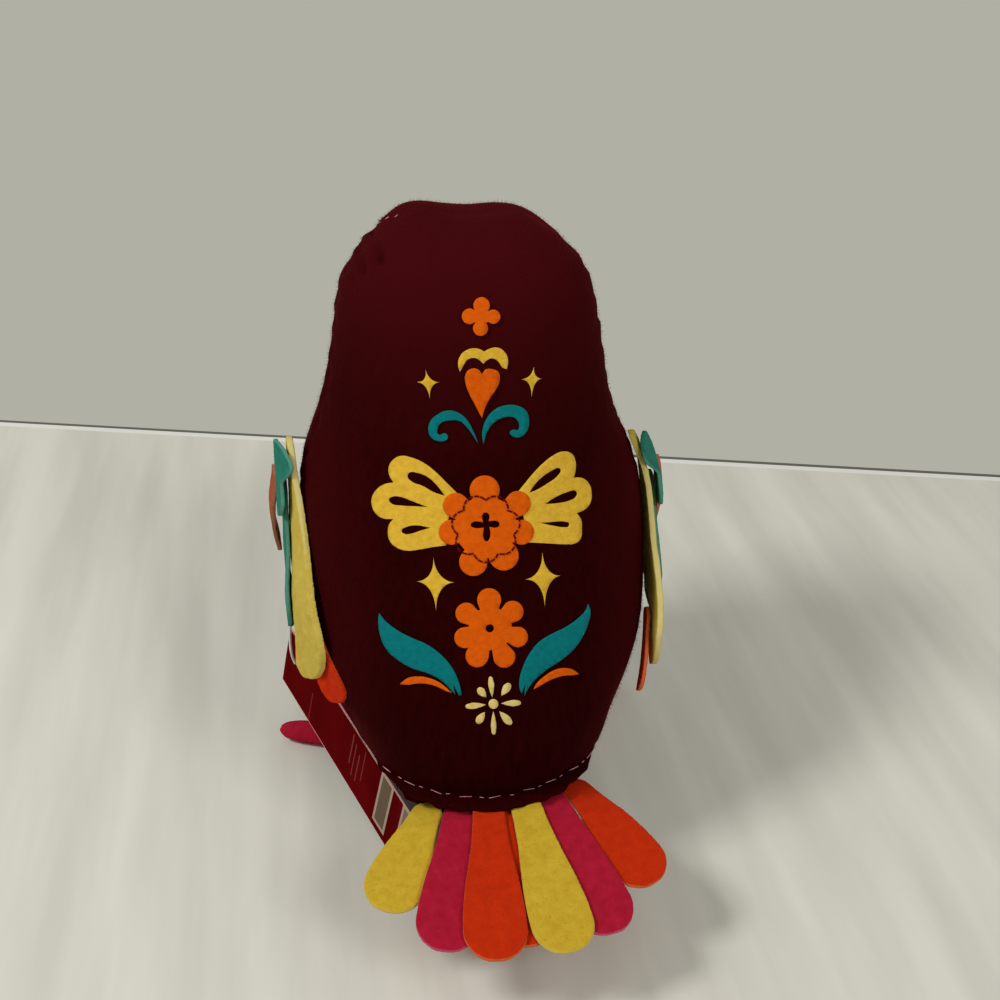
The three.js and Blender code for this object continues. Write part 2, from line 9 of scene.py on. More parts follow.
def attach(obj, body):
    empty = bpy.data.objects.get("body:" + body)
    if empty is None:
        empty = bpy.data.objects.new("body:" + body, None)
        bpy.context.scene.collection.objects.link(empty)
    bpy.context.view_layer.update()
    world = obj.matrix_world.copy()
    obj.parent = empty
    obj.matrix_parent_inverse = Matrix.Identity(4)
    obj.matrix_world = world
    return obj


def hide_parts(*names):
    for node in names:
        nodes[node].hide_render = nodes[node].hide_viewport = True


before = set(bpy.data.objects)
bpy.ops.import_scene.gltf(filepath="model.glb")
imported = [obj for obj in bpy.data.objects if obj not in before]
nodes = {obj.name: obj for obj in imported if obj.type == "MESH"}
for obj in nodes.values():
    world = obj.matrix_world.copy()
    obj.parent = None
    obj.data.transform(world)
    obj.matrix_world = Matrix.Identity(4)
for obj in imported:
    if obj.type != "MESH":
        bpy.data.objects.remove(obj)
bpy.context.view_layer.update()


def mm(*values):
    return values[0] / 1000 if len(values) == 1 else Vector([v / 1000 for v in values])


def clamped(value):
    return min(max(value, 0), 1)


def eased(value):
    value = clamped(value)
    return value * value * (3 - 2 * value)


centreLine = mm(-0.09, -16.4, 0)    # where the bird's own middle plane and legs lie in this frame

# Camera: a phone held over the table behind the bird
cameraPlace = {
    "at": mm(44.81, 272.5, 270.7), "down": 31.0, "turn": 10.3, "roll": 2.3, "lens": 45.0,
}


def makeCamera():
    down, turn, roll = (math.radians(cameraPlace[k]) for k in ("down", "turn", "roll"))
    ahead = Vector((-math.sin(turn) * math.cos(down), -math.cos(turn) * math.cos(down), -math.sin(down)))
    right = ahead.cross(Vector((0, 0, 1))).normalized()
    up = right.cross(ahead)
    right, up = right * math.cos(roll) + up * math.sin(roll), up * math.cos(roll) - right * math.sin(roll)
    bpy.ops.object.camera_add(location=cameraPlace["at"])
    camera = bpy.context.object
    camera.name = "tableCamera"
    camera.data.lens = cameraPlace["lens"]
    camera.data.sensor_width = 36
    camera.data.clip_start = 0.01
    camera.data.clip_end = 20
    camera.matrix_world = Matrix.Translation(cameraPlace["at"]) @ Matrix((right, up, -ahead)).transposed().to_4x4()
    bpy.context.scene.camera = camera
    return right, up, ahead


cameraRight, cameraUp, cameraAhead = makeCamera()


def hexToLinear(text):
    parts = [int(text[i:i + 2], 16) / 255 for i in (1, 3, 5)]
    return [p / 12.92 if p <= 0.04045 else ((p + 0.055) / 1.055) ** 2.4 for p in parts] + [1.0]


def addNode(material, kind, settings=None, links=None):
    tree = material.node_tree
    node = tree.nodes.new("ShaderNode" + kind)
    for key, value in (settings or {}).items():
        if isinstance(key, int) or key in node.inputs:
            node.inputs[key].default_value = value
        else:
            setattr(node, key, value)
    for key, source in (links or {}).items():
        tree.links.new(source, node.inputs[key])
    return node


def startMaterial(name):
    # an empty material, and the place on the object that its patterns follow
    material = bpy.data.materials.new(name)
    material.use_nodes = True
    material.node_tree.nodes.clear()
    return material, addNode(material, "TexCoord").outputs["Object"]


def finishMaterial(material, settings, links):
    shader = addNode(material, "BsdfPrincipled", settings, links)
    addNode(material, "OutputMaterial", links={"Surface": shader.outputs[0]})
    return material


def spread(material, place, low, high, scale, detail=3.0, fromTo=(0.35, 0.65)):
    # two sRGB colours mixed by cloudy noise, scale in cycles per metre
    cloud = addNode(material, "TexNoise", {"Scale": scale, "Detail": detail}, {"Vector": place})
    ramp = addNode(material, "ValToRGB", links={"Fac": cloud.outputs["Fac"]})
    ramp.color_ramp.elements[0].position, ramp.color_ramp.elements[1].position = fromTo
    ramp.color_ramp.elements[0].color = hexToLinear(low)
    ramp.color_ramp.elements[1].color = hexToLinear(high)
    return ramp.outputs["Color"]


fleeceLook = {
    "streaks": (1.6, 1.6, 7), "hairs": (0.5, 0.5, 3),    # grain sizes, millimetres
    # painted light: the fleece is painted lighter over the crown, where light from above falls, and at the flanks,
    # where the sheen shows: from and to, millimetres, and how much at most
    "crown": (112, 162, 0.9), "flank": (24, 46, 0.55),
}


def polyesterFleece(name, shade, lit, raisedAndPaintedLit):
    # brushed knit: matt, its short nap combed down in streaks; over the crown and at the flanks a lighter colour is
    # mixed in as painted light
    material, place = startMaterial(name)
    streaks, hairs = [addNode(material, "Mapping", {"Scale": [1 / mm(v) for v in fleeceLook[grain]]},
                              {"Vector": place}).outputs[0] for grain in ("streaks", "hairs")]
    colour = spread(material, streaks, shade, lit, 1.0, 3.0, (0.3, 0.7))
    parts = addNode(material, "SeparateXYZ", links={"Vector": place})
    across = addNode(material, "Math", {"operation": "ABSOLUTE"}, {0: parts.outputs["X"]})
    # painted light: how much of the painted-lit colour is mixed in, growing up the crown and out to the flanks
    low, high, most = fleeceLook["crown"]
    crown = addNode(material, "MapRange", {"From Min": mm(low), "From Max": mm(high), "To Max": most},
                    {"Value": parts.outputs["Z"]})
    low, high, most = fleeceLook["flank"]
    flank = addNode(material, "MapRange", {"From Min": mm(low), "From Max": mm(high), "To Max": most},
                    {"Value": across.outputs[0]})
    paintedLightShare = addNode(material, "Math", {"operation": "MAXIMUM"}, {0: crown.outputs[0], 1: flank.outputs[0]})
    brushed = addNode(material, "MixRGB", {"Color2": hexToLinear(raisedAndPaintedLit)},
                      {"Fac": paintedLightShare.outputs[0], "Color1": colour})
    nap = addNode(material, "TexNoise", {"Scale": 1.0, "Detail": 3.0}, {"Vector": hairs})
    bump = addNode(material, "Bump", {"Strength": 0.35, "Distance": mm(0.3)}, {"Height": nap.outputs["Fac"]})
    return finishMaterial(material, {
        "Roughness": 0.95, "Specular IOR Level": 0.02, "Sheen Weight": 0.24, "Sheen Roughness": 0.3,
        "Sheen Tint": hexToLinear("#9c0a14")}, {"Base Color": brushed.outputs[0], "Normal": bump.outputs[0]})


def woolFelt(name, shade, lit, speck, edgeGlint):
    # pressed fibres: mottled over 2 to 3 mm, with fine crossing fibres of about 0.3 mm, and a painted highlight
    # along the cut edge
    material, place = startMaterial(name)
    colour = spread(material, place, shade, lit, 1 / mm(2.6), 5.0, (0.3, 0.7))
    fleck = addNode(material, "TexNoise", {"Scale": 1 / mm(0.5), "Detail": 2.0, "Distortion": 1.5},
                    {"Vector": place})
    share = addNode(material, "MapRange", {"From Min": 0.56, "From Max": 0.74, "To Max": 0.55},
                    {"Value": fleck.outputs["Fac"]})
    mixed = addNode(material, "MixRGB", {"Color2": hexToLinear(speck)},
                    {"Fac": share.outputs[0], "Color1": colour})
    # painted highlight: the cut edge is mixed toward a pale glint colour
    cut = addNode(material, "Attribute", {"attribute_name": "cutEdge"})
    pale = addNode(material, "Math", {"operation": "MULTIPLY", 1: 0.75}, {0: cut.outputs["Fac"]})
    edgeGlinted = addNode(material, "MixRGB", {"Color2": hexToLinear(edgeGlint)},
                    {"Fac": pale.outputs[0], "Color1": mixed.outputs[0]})
    fibre = addNode(material, "TexNoise", {"Scale": 1 / mm(0.3), "Detail": 3.0, "Distortion": 2.0},
                    {"Vector": place})
    bump = addNode(material, "Bump", {"Strength": 0.6, "Distance": mm(0.2)}, {"Height": fibre.outputs["Fac"]})
    return finishMaterial(material, {
        "Roughness": 0.92, "Specular IOR Level": 0.12, "Sheen Weight": 0.08, "Sheen Roughness": 0.4,
        "Sheen Tint": hexToLinear(lit)}, {"Base Color": edgeGlinted.outputs[0], "Normal": bump.outputs[0]})


def fabricInk(name, shade, lit):
    # pigment pressed into the nap: flat colour, broken a little by the fibres under it
    material, place = startMaterial(name)
    colour = spread(material, place, shade, lit, 1 / mm(1.4), 6.0, (0.3, 0.7))
    grain = addNode(material, "TexNoise", {"Scale": 1 / mm(0.5), "Detail": 3.0}, {"Vector": place})
    bump = addNode(material, "Bump", {"Strength": 0.5, "Distance": mm(0.2)}, {"Height": grain.outputs["Fac"]})
    return finishMaterial(material, {
        "Roughness": 0.85, "Specular IOR Level": 0.08}, {"Base Color": colour, "Normal": bump.outputs[0]})


def polishedResin(name, shade, lit):
    # moulded bead: smooth and glossy, with a faint unevenness
    material, place = startMaterial(name)
    colour = spread(material, place, shade, lit, 1 / mm(2), 2.0)
    wave = addNode(material, "TexNoise", {"Scale": 1 / mm(3)}, {"Vector": place})
    bump = addNode(material, "Bump", {"Strength": 0.1, "Distance": mm(0.05)}, {"Height": wave.outputs["Fac"]})
    return finishMaterial(material, {
        "Roughness": 0.12, "IOR": 1.5, "Coat Weight": 0.4, "Coat Roughness": 0.05},
        {"Base Color": colour, "Normal": bump.outputs[0]})


def twistedThread(name, shade, lit, roughness, twist):
    # spun thread or nylon: fine diagonal twist along it
    material, place = startMaterial(name)
    bands = addNode(material, "TexWave", {"Scale": 1 / twist, "Distortion": 1.0, "bands_direction": "DIAGONAL"},
                    {"Vector": place})
    colour = spread(material, place, shade, lit, 1 / mm(1.5))
    bump = addNode(material, "Bump", {"Strength": 0.4, "Distance": mm(0.06)}, {"Height": bands.outputs["Fac"]})
    return finishMaterial(material, {"Roughness": roughness, "IOR": 1.53},
                          {"Base Color": colour, "Normal": bump.outputs[0]})


def drawnSteel(name):
    # leg wire: drawn through a die, so it has fine lines along it
    material, place = startMaterial(name)
    along = addNode(material, "Mapping", {"Scale": (1 / mm(0.2), 1 / mm(0.2), 1 / mm(8))}, {"Vector": place})
    line = addNode(material, "TexNoise", {"Scale": 1.0}, {"Vector": along.outputs[0]})
    rough = addNode(material, "MapRange", {"To Min": 0.28, "To Max": 0.45}, {"Value": line.outputs["Fac"]})
    return finishMaterial(material, {"Metallic": 1.0, "Base Color": hexToLinear("#9c9b98")},
                          {"Roughness": rough.outputs[0]})


# the last colour of each fleece is its painted-lit tone for the crown and flanks
fleece = polyesterFleece("burgundyPolyesterFleece", "#200101", "#290202", "#40080c")
# painted light: the nap fibres get a lighter copy of the fleece colour, painted as fibres catching light at the
# rims
paintedLitFleeceNap = polyesterFleece("burgundyFleeceNapPaintedLit", "#3c0a12", "#501420", "#5e1a26")
# the last colour of each felt is the painted highlight along its cut edge
yellowFelt = woolFelt("yellowWoolFelt", "#bc9a24", "#c9a930", "#86701a", "#cdb767")
paleYellowFelt = woolFelt("paleYellowWoolFelt", "#bca440", "#c9b250", "#94803a", "#d2c484")
pinkFelt = woolFelt("pinkWoolFelt", "#9c0e28", "#ac1732", "#7c0c22", "#c25a70")
orangeFelt = woolFelt("orangeWoolFelt", "#b42600", "#c22c01", "#8c1e00", "#d07040")
tealFelt = woolFelt("tealWoolFelt", "#1c6a5a", "#2c7a68", "#143e30", "#5c9484")
coralFelt = woolFelt("coralWoolFelt", "#94462a", "#a45434", "#7a341c", "#b87a5c")
orangeInk = fabricInk("orangeFabricInk", "#c65000", "#d85a02")
yellowInk = fabricInk("yellowFabricInk", "#c79c2a", "#d9b038")
tealInk = fabricInk("tealFabricInk", "#02666a", "#047274")
creamInk = fabricInk("creamFabricInk", "#cdb468", "#dcc67e")
lineInk = fabricInk("darkRedFabricInk", "#4c0208", "#5c0610")
blackResin = polishedResin("blackAcrylicBead", "#08080a", "#101014")
pinkThread = twistedThread("palePinkPolyesterThread", "#a8606a", "#d49a9c", 0.6, mm(0.5))
nylon = twistedThread("clearNylonThread", "#cfc8be", "#e6e0d6", 0.3, mm(0.8))
steel = drawnSteel("drawnSteelWire")
print("materials ready")


def deselectAll():
    if bpy.context.mode != "OBJECT":
        bpy.ops.object.mode_set(mode="OBJECT")
    bpy.ops.object.select_all(action="DESELECT")


def workOn(obj):
    deselectAll()
    obj.select_set(True)
    bpy.context.view_layer.objects.active = obj


def finishModifiers(obj):
    workOn(obj)
    for modifier in list(obj.modifiers):
        bpy.ops.object.modifier_apply(modifier=modifier.name)


def addModifier(obj, kind, **settings):
    modifier = obj.modifiers.new(kind.lower(), kind)
    for key, value in settings.items():
        setattr(modifier, key, value)
    return modifier


def settle(obj):
    # place, turn and size go into the mesh
    workOn(obj)
    bpy.ops.object.transform_apply(location=True, rotation=True, scale=True)


def moveVertices(obj, moved):
    for vertex in obj.data.vertices:
        vertex.co = moved(vertex.co.copy())
    obj.data.update()


def joined(name, *pieces):
    deselectAll()
    for piece in pieces:
        piece.select_set(True)
    bpy.context.view_layer.objects.active = pieces[0]
    if len(pieces) > 1:
        bpy.ops.object.join()
    pieces[0].name = name
    return pieces[0]


def editWhole(obj):
    workOn(obj)
    bpy.ops.object.mode_set(mode="EDIT")
    bpy.ops.mesh.select_all(action="SELECT")


def looseCopy(name, *nodeNames):
    # a merged copy of CAD solids to shape further
    copies = []
    for nodeName in nodeNames:
        copy = bpy.data.objects.new(name, nodes[nodeName].data.copy())
        bpy.context.scene.collection.objects.link(copy)
        copies.append(copy)
    copy = joined(name, *copies)
    editWhole(copy)
    bpy.ops.mesh.remove_doubles(threshold=mm(0.002))
    bpy.ops.object.mode_set(mode="OBJECT")
    copy.data.materials.clear()
    return copy


def softCopy(name, nodeName, voxel, passes):
    # a copy of one CAD solid with its corners worn round
    piece = looseCopy(name, nodeName)
    addModifier(piece, "REMESH", mode="VOXEL", voxel_size=mm(voxel))
    addModifier(piece, "SMOOTH", factor=0.5, iterations=passes)
    finishModifiers(piece)
    return piece


def dress(obj, material, body):
    obj.data.materials.clear()
    obj.data.materials.append(material)
    workOn(obj)
    bpy.ops.object.shade_smooth()
    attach(obj, body)
    return obj


def roundBar(name, sides, steps):
    # a cylinder from z = 0 to 1, cut across into steps, to be led along a path
    deselectAll()
    bpy.ops.mesh.primitive_cylinder_add(vertices=sides, radius=1, depth=1, location=(0, 0, 0.5))
    bar = bpy.context.object
    bar.name = name
    bpy.ops.object.mode_set(mode="EDIT")
    bpy.ops.mesh.select_all(action="DESELECT")
    bpy.ops.object.mode_set(mode="OBJECT")
    for edge in bar.data.edges:
        a, b = (bar.data.vertices[i].co for i in edge.vertices)
        edge.select = abs(a.z - b.z) > 0.5
    bpy.ops.object.mode_set(mode="EDIT")
    bpy.ops.mesh.select_mode(type="EDGE")
    bpy.ops.mesh.subdivide(number_cuts=steps - 1)
    bpy.ops.object.mode_set(mode="OBJECT")
    settle(bar)
    return bar


def setNormalsOutward(obj):
    editWhole(obj)
    bpy.ops.mesh.normals_make_consistent(inside=False)
    bpy.ops.object.mode_set(mode="OBJECT")


def surfaceTree(obj):
    return BVHTree.FromObject(obj, bpy.context.evaluated_depsgraph_get())


# Body: one stuffed form over its filling, swollen by a short cloth simulation and pinched at its seams
stuffedBody = {
    "cuts": 47, "start": mm(1.7), "pressure": 4.0, "frames": 20, "cap": mm(1.2),
    "seamDepth": mm(1.0), "seamWidth": mm(1.5), "puckerDepth": mm(0.35), "puckerPitch": mm(6.5),
    "puckerReach": mm(5), "lumps": mm(0.7), "lumpPitch": mm(24), "fineLumpPitch": mm(6),
    "middle": mm(0, -8, 84), "spread": mm(60, 60, 90), "pinned": mm(1.6), "mass": 0.3, "quality": 6,
    # the side seam's groove fades up the head: from what height, over what height, and what is left of it
    "fadeFrom": mm(128), "fadeOver": mm(24), "fadeTo": 0.15,
    # short folds run up from the pinched rear seam
    "foldDepth": mm(0.3), "foldPitch": mm(4.2), "foldHeight": mm(7), "foldFrom": mm(8),
    # on the crown: x, rise and spread of each hump or hollow, millimetres, in one row across it
    "crownRow": mm(-24), "crownFrom": mm(140),
    "crownBumps": ((14, 2.8, 7), (-13, 1.9, 9), (-2, -0.7, 6), (-27, -1.1, 8)),
    # how far the crown settles, and how far the cheeks stand out at their height
    "crownSink": mm(0.8), "sinkFrom": mm(148), "sinkOver": mm(16),
    "cheeks": mm(1.0), "cheekHeight": mm(134), "cheekSpread": mm(15),
    # small gathers in the seam beside the crown: x, z and depth, millimetres
    "gatherWidth": mm(1.4), "gatherReach": mm(16),
    "seamGathers": ((24.4, 161.2, 3.3), (28.9, 157.8, 3.1), (31.2, 154.4, 1.6)),
    # the lower right flank is filled out: its place, how far and over what width, millimetres
    "flank": ((-29.5, 34, 37), 1.9, 9),
}
# the side seam in the bird's own y and z, millimetres, from the belly over the crown
sideSeam = [(-1, 13), (-1, 34), (1, 54), (-2, 74), (-8, 96), (-14, 116), (-18, 140), (-22, 158), (-23, 180)]
undersideSeam = {"height": 30.5, "rise": 0.06, "from": 51}


def seamPlace(z):
    z = z * 1000
    for (y0, z0), (y1, z1) in zip(sideSeam, sideSeam[1:]):
        if z <= z1:
            break
    return mm(y0 + (y1 - y0) * clamped((z - z0) / (z1 - z0))) + centreLine.y


def undersideHeight(y):
    return mm(undersideSeam["height"] + undersideSeam["rise"] * ((y - centreLine.y) * 1000 - undersideSeam["from"]))


def seamDistances(p):
    return abs(p.y - seamPlace(p.z)), abs(p.z - undersideHeight(p.y))


def makeBodyForm():
    filling = looseCopy("fillingForm", "stuffing", "pellet_bag")
    tree = surfaceTree(filling)
    middle = centreLine + stuffedBody["middle"]
    deselectAll()
    bpy.ops.mesh.primitive_cube_add(size=2, location=(0, 0, 0))
    body = bpy.context.object
    body.name = "fleece_body"
    bpy.ops.object.mode_set(mode="EDIT")
    bpy.ops.mesh.subdivide(number_cuts=stuffedBody["cuts"])
    bpy.ops.object.mode_set(mode="OBJECT")

    def toFilling(p):
        # an even spread over the sphere, then down to the filling from outside
        way = Vector([math.tan(c * math.pi / 4) for c in p]).normalized()
        way = Vector([w * h for w, h in zip(way, stuffedBody["spread"])])
        hit = tree.ray_cast(middle + way * 3, -way)[0]
        return hit if hit else middle + way
    moveVertices(body, toFilling)
    settle(body)
    addModifier(body, "SMOOTH", factor=0.5, iterations=6)
    finishModifiers(body)
    body.data.update()
    normals = [v.normal.copy() for v in body.data.vertices]
    for vertex, normal in zip(body.data.vertices, normals):
        vertex.co += normal * stuffedBody["start"]
    bpy.data.objects.remove(filling)
    return body


def swell(body):
    pins = body.vertex_groups.new(name="seams")
    for vertex in body.data.vertices:
        side, under = seamDistances(vertex.co)
        if min(side, under) < stuffedBody["pinned"]:
            pins.add([vertex.index], 1.0, "REPLACE")
    before = [v.co.copy() for v in body.data.vertices]
    cloth = addModifier(body, "CLOTH")
    cloth.settings.use_pressure = True
    cloth.settings.uniform_pressure_force = stuffedBody["pressure"]
    cloth.settings.effector_weights.gravity = 0
    cloth.settings.vertex_group_mass = "seams"
    cloth.settings.mass = stuffedBody["mass"]
    cloth.settings.quality = stuffedBody["quality"]
    cloth.point_cache.frame_start = 1
    cloth.point_cache.frame_end = stuffedBody["frames"]
    scene = bpy.context.scene
    for step in range(1, stuffedBody["frames"] + 1):
        scene.frame_set(step)
    finishModifiers(body)
    scene.frame_set(1)
    for vertex, start in zip(body.data.vertices, before):
        moved = vertex.co - start
        if moved.length > stuffedBody["cap"]:
            moved = moved.normalized() * stuffedBody["cap"]
        vertex.co = start + moved
    body.vertex_groups.clear()


def pinchSeams(body):
    body.data.update()
    form = stuffedBody
    normals = [v.normal.copy() for v in body.data.vertices]
    for vertex, normal in zip(body.data.vertices, normals):
        p = vertex.co.copy()
        acrossBody, alongBody = p.x - centreLine.x, p.y - centreLine.y
        side, under = seamDistances(p)
        run = p.z if side < under else p.x
        head = 1 - clamped((p.z - form["fadeFrom"]) / form["fadeOver"])
        depth = 0.0
        for away, strength in ((side, form["fadeTo"] + (1 - form["fadeTo"]) * head), (under, 1.0)):
            depth -= strength * form["seamDepth"] * math.exp(-(away / form["seamWidth"]) ** 2)
        wave = math.sin(run / form["puckerPitch"] * 2 * math.pi + 2.0 * noise.noise(p * 90))
        depth += form["puckerDepth"] * wave * math.exp(-(min(side, under) / form["puckerReach"]) ** 2)
        depth += (form["lumps"] * noise.noise(p / form["lumpPitch"])
                  + 0.2 * form["lumps"] * noise.noise(p / form["fineLumpPitch"]))
        for x, lift, reach in form["crownBumps"]:
            away = Vector((acrossBody - mm(x), (alongBody - form["crownRow"]) / 2, 0)).length
            if p.z > form["crownFrom"]:
                depth += mm(lift) * math.exp(-(away / mm(reach)) ** 2)
        depth -= form["crownSink"] * clamped((p.z - form["sinkFrom"]) / form["sinkOver"]) * max(normal.z, 0)
        cheek = math.exp(-((p.z - form["cheekHeight"]) / form["cheekSpread"]) ** 2)
        depth += form["cheeks"] * cheek * abs(normal.x)
        for x, z, deep in form["seamGathers"]:
            away = Vector((acrossBody - mm(x), 0, p.z - mm(z))).length
            if side < form["gatherReach"]:
                depth -= mm(deep) * math.exp(-(away / form["gatherWidth"]) ** 2)
        place, full, reach = form["flank"]
        depth += mm(full) * math.exp(-((p - centreLine - mm(*place)).length / mm(reach)) ** 2)
        above = p.z - undersideHeight(p.y)
        if p.y > centreLine.y + form["foldFrom"] and above > 0:
            fold = math.cos(acrossBody / form["foldPitch"] + 1.5 * noise.noise(p * 60))
            depth += form["foldDepth"] * fold * math.exp(-(above / form["foldHeight"]) ** 2)
        vertex.co = p + normal * depth


bodyPiece = makeBodyForm()
swell(bodyPiece)
addModifier(bodyPiece, "SMOOTH", factor=0.5, iterations=2)
addModifier(bodyPiece, "SUBSURF", levels=1, render_levels=1)
finishModifiers(bodyPiece)
pinchSeams(bodyPiece)
bodyTree = surfaceTree(bodyPiece)
print("body swollen and pinched, faces:", len(bodyPiece.data.polygons))


# Rear seam: two rolled lips that open round the feather roots
rearSeam = {
    # sweep, closing and taper are degrees round the body, the last two from the ends of the seam inwards
    "sweep": 45.0, "width": 5.4, "inside": 1.6, "thick": 1.5, "wave": 0.22,
    "open": 2.2, "closed": 0.15, "closing": 16, "taper": 28.0, "sides": 18, "steps": 110,
    "stitchLength": 3.3, "stitchPitch": 3.9, "stitchRadius": 0.12, "stitchOut": 0.7, "stray": 0.12,
    "stitchesEnd": 5,    # degrees before the ends of the lips
    # short stitches beside the gathers of the crown: x and y, millimetres
    "crownStitches": ((22.4, -26.5), (20.4, -24.5), (18.2, -22.5)),
}


def rimPlace(turn, height):
    # where the body's outside is at that turn round the middle, and the way out
    way = Vector((math.sin(turn), math.cos(turn), 0))
    start = Vector((centreLine.x, centreLine.y - mm(1), undersideHeight(mm(30)) + height))
    hit = bodyTree.ray_cast(start + way * 0.12, -way)[0]
    return hit, way


def makeSeamLip(side):
    lip = roundBar("seamLip", rearSeam["sides"], rearSeam["steps"])
    path = []
    for n in range(rearSeam["steps"] + 1):
        turn = math.radians(rearSeam["sweep"]) * (2 * n / rearSeam["steps"] - 1)
        fromEnd = rearSeam["sweep"] - abs(math.degrees(turn))
        taper = eased(fromEnd / rearSeam["taper"])
        closed = mm(rearSeam["closed"])
        opening = closed + (mm(rearSeam["open"]) - closed) * min(fromEnd / rearSeam["closing"], 1)
        place, way = rimPlace(turn, side * (opening + mm(rearSeam["thick"] / 2)))
        path.append((place, way, 0.12 + 0.88 * taper))

    def toLip(p):
        # a squarish section, its outer border uneven and wavy along the seam
        place, way, taper = path[round(p.z * rearSeam["steps"])]
        across = math.copysign(abs(p.x) ** 0.6, p.x)
        upward = math.copysign(abs(p.y) ** 0.75, p.y)
        inner, outer = -mm(rearSeam["inside"]), mm(rearSeam["width"]) * taper
        ripple = 1 + 0.06 * math.sin(p.z * 95) + 0.05 * math.sin(p.z * 41 + side)
        out = (inner + outer) / 2 + (outer - inner) / 2 * across * ripple
        rise = mm(rearSeam["thick"]) / 2 * upward * (0.3 + 0.7 * taper)
        rise += mm(rearSeam["wave"]) * math.sin(p.z * 70 + 2 * side) * max(across, 0)
        return place + way * out + Vector((0, 0, rise))
    moveVertices(lip, toLip)
    setNormalsOutward(lip)
    return lip


lips = [makeSeamLip(1), makeSeamLip(-1)]
bodyPiece = joined("fleece_body", bodyPiece, *lips)
dress(bodyPiece, fleece, "bird")
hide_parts("back_panel", "front_panel", "underside_panel", "stuffing", "pellet_bag")


def makeStitch(radius, length):
    deselectAll()
    bpy.ops.mesh.primitive_uv_sphere_add(segments=8, ring_count=6, radius=radius)
    stitch = bpy.context.object
    half = length / 2 - radius
    moveVertices(stitch, lambda p: p + Vector((math.copysign(half, p.x) if abs(p.x) > 1e-7 else 0, 0, 0)))
    return stitch


def placed(pattern, at, along, up):
    # a copy of the pattern, with its own mesh, at that place
    copy = pattern.copy()
    copy.data = pattern.data.copy()
    bpy.context.scene.collection.objects.link(copy)
    side = up.cross(along).normalized()
    turned = Matrix((along.normalized(), side, along.cross(side).normalized())).transposed().to_4x4()
    copy.data.transform(Matrix.Translation(at) @ turned)
    return copy


def makeTopstitch():
    random.seed(4)
    long, short = (makeStitch(mm(rearSeam["stitchRadius"]), mm(rearSeam["stitchLength"] * share))
                   for share in (1, 0.35))
    stray = rearSeam["stray"]
    copies = []
    for x, y in rearSeam["crownStitches"]:
        place, normal = bodyTree.ray_cast(centreLine + mm(x, y, 250), Vector((0, 0, -1)))[:2]
        copies.append(placed(short, place + normal * mm(0.1), Vector((0.6, -0.2, -0.5)), normal))
    last = math.radians(rearSeam["sweep"] - rearSeam["stitchesEnd"])
    turn = -last
    while turn < last:
        z = mm(rearSeam["open"] + rearSeam["thick"] - 0.1)
        place, way = rimPlace(turn, z)
        ahead = rimPlace(turn + 0.02, z)[0]
        at = place + way * mm(rearSeam["stitchOut"] + random.uniform(-stray, stray)) + Vector((0, 0, mm(0.05)))
        copies.append(placed(short if len(copies) % 2 else long, at, ahead - place, Vector((0, 0, 1))))
        pitch = mm(rearSeam["stitchPitch"] * random.uniform(0.75, 1.25))
        turn += pitch / max((place - centreLine).to_2d().length, mm(20))
    bpy.data.objects.remove(long)
    bpy.data.objects.remove(short)
    return joined("seam_topstitch", *copies)


dress(makeTopstitch(), pinkThread, "bird")
print("rear seam sewn")


# Nap: short fibres that stand out of the fleece, all from one doubled blade
fleeceFibres = {"doublings": 15, "length": 1.35, "radius": 0.036, "comb": 0.4,
                # the printed back is pressed flat: out to where at the side, up to where, and how far forward
                "pressed": (18, 34), "crown": (148, 158), "face": mm(15)}


def makeNap():
    random.seed(11)
    deselectAll()
    bpy.ops.mesh.primitive_cone_add(vertices=3, radius1=1, radius2=0, depth=1, end_fill_type="NGON")
    nap = bpy.context.object
    nap.name = "fleece_nap"
    settle(nap)
    for doubling in range(fleeceFibres["doublings"]):
        workOn(nap)
        bpy.ops.object.duplicate()
        joined("fleece_nap", nap, bpy.context.object)
    perBlade = 4
    polygons = bodyPiece.data.polygons
    areas = []
    total = 0.0
    for polygon in polygons:
        total += polygon.area
        areas.append(total)
    blades = []
    for n in range(len(nap.data.vertices) // perBlade):
        polygon = polygons[bisect.bisect_left(areas, random.random() * total)]
        corners = [bodyPiece.data.vertices[i].co for i in polygon.vertices]
        weights = [random.random() for c in corners]
        at = sum((c * w for c, w in zip(corners, weights)), Vector()) / sum(weights)
        out = (polygon.normal + mm(0, 0, -1000) * fleeceFibres["comb"] * random.random()
               + Vector([random.uniform(-0.5, 0.5) for c in range(3)])).normalized()
        # long fibres stand at the flanks, over the crown and in front
        loose = 1.0 if at.y < centreLine.y - fleeceFibres["face"] else 0
        for reach, zone in ((abs(at.x - centreLine.x), "pressed"), (at.z, "crown")):
            low, high = fleeceFibres[zone]
            loose = max(loose, clamped((reach * 1000 - low) / (high - low)))
        size = random.uniform(0.5, 1.0) * (0.15 + 0.85 * loose)
        blades.append((at - polygon.normal * mm(0.1), out, size))
    for index, vertex in enumerate(nap.data.vertices):
        at, out, size = blades[index // perBlade]
        side = out.orthogonal().normalized()
        across = out.cross(side)
        p = vertex.co
        wide = mm(fleeceFibres["radius"])
        vertex.co = (at + side * p.x * wide + across * p.y * wide
                     + out * (p.z + 0.5) * mm(fleeceFibres["length"]) * size)
    setNormalsOutward(nap)
    return nap


# the nap wears the painted-lit copy of the fleece
dress(makeNap(), paintedLitFleeceNap, "bird")
print("nap raised")


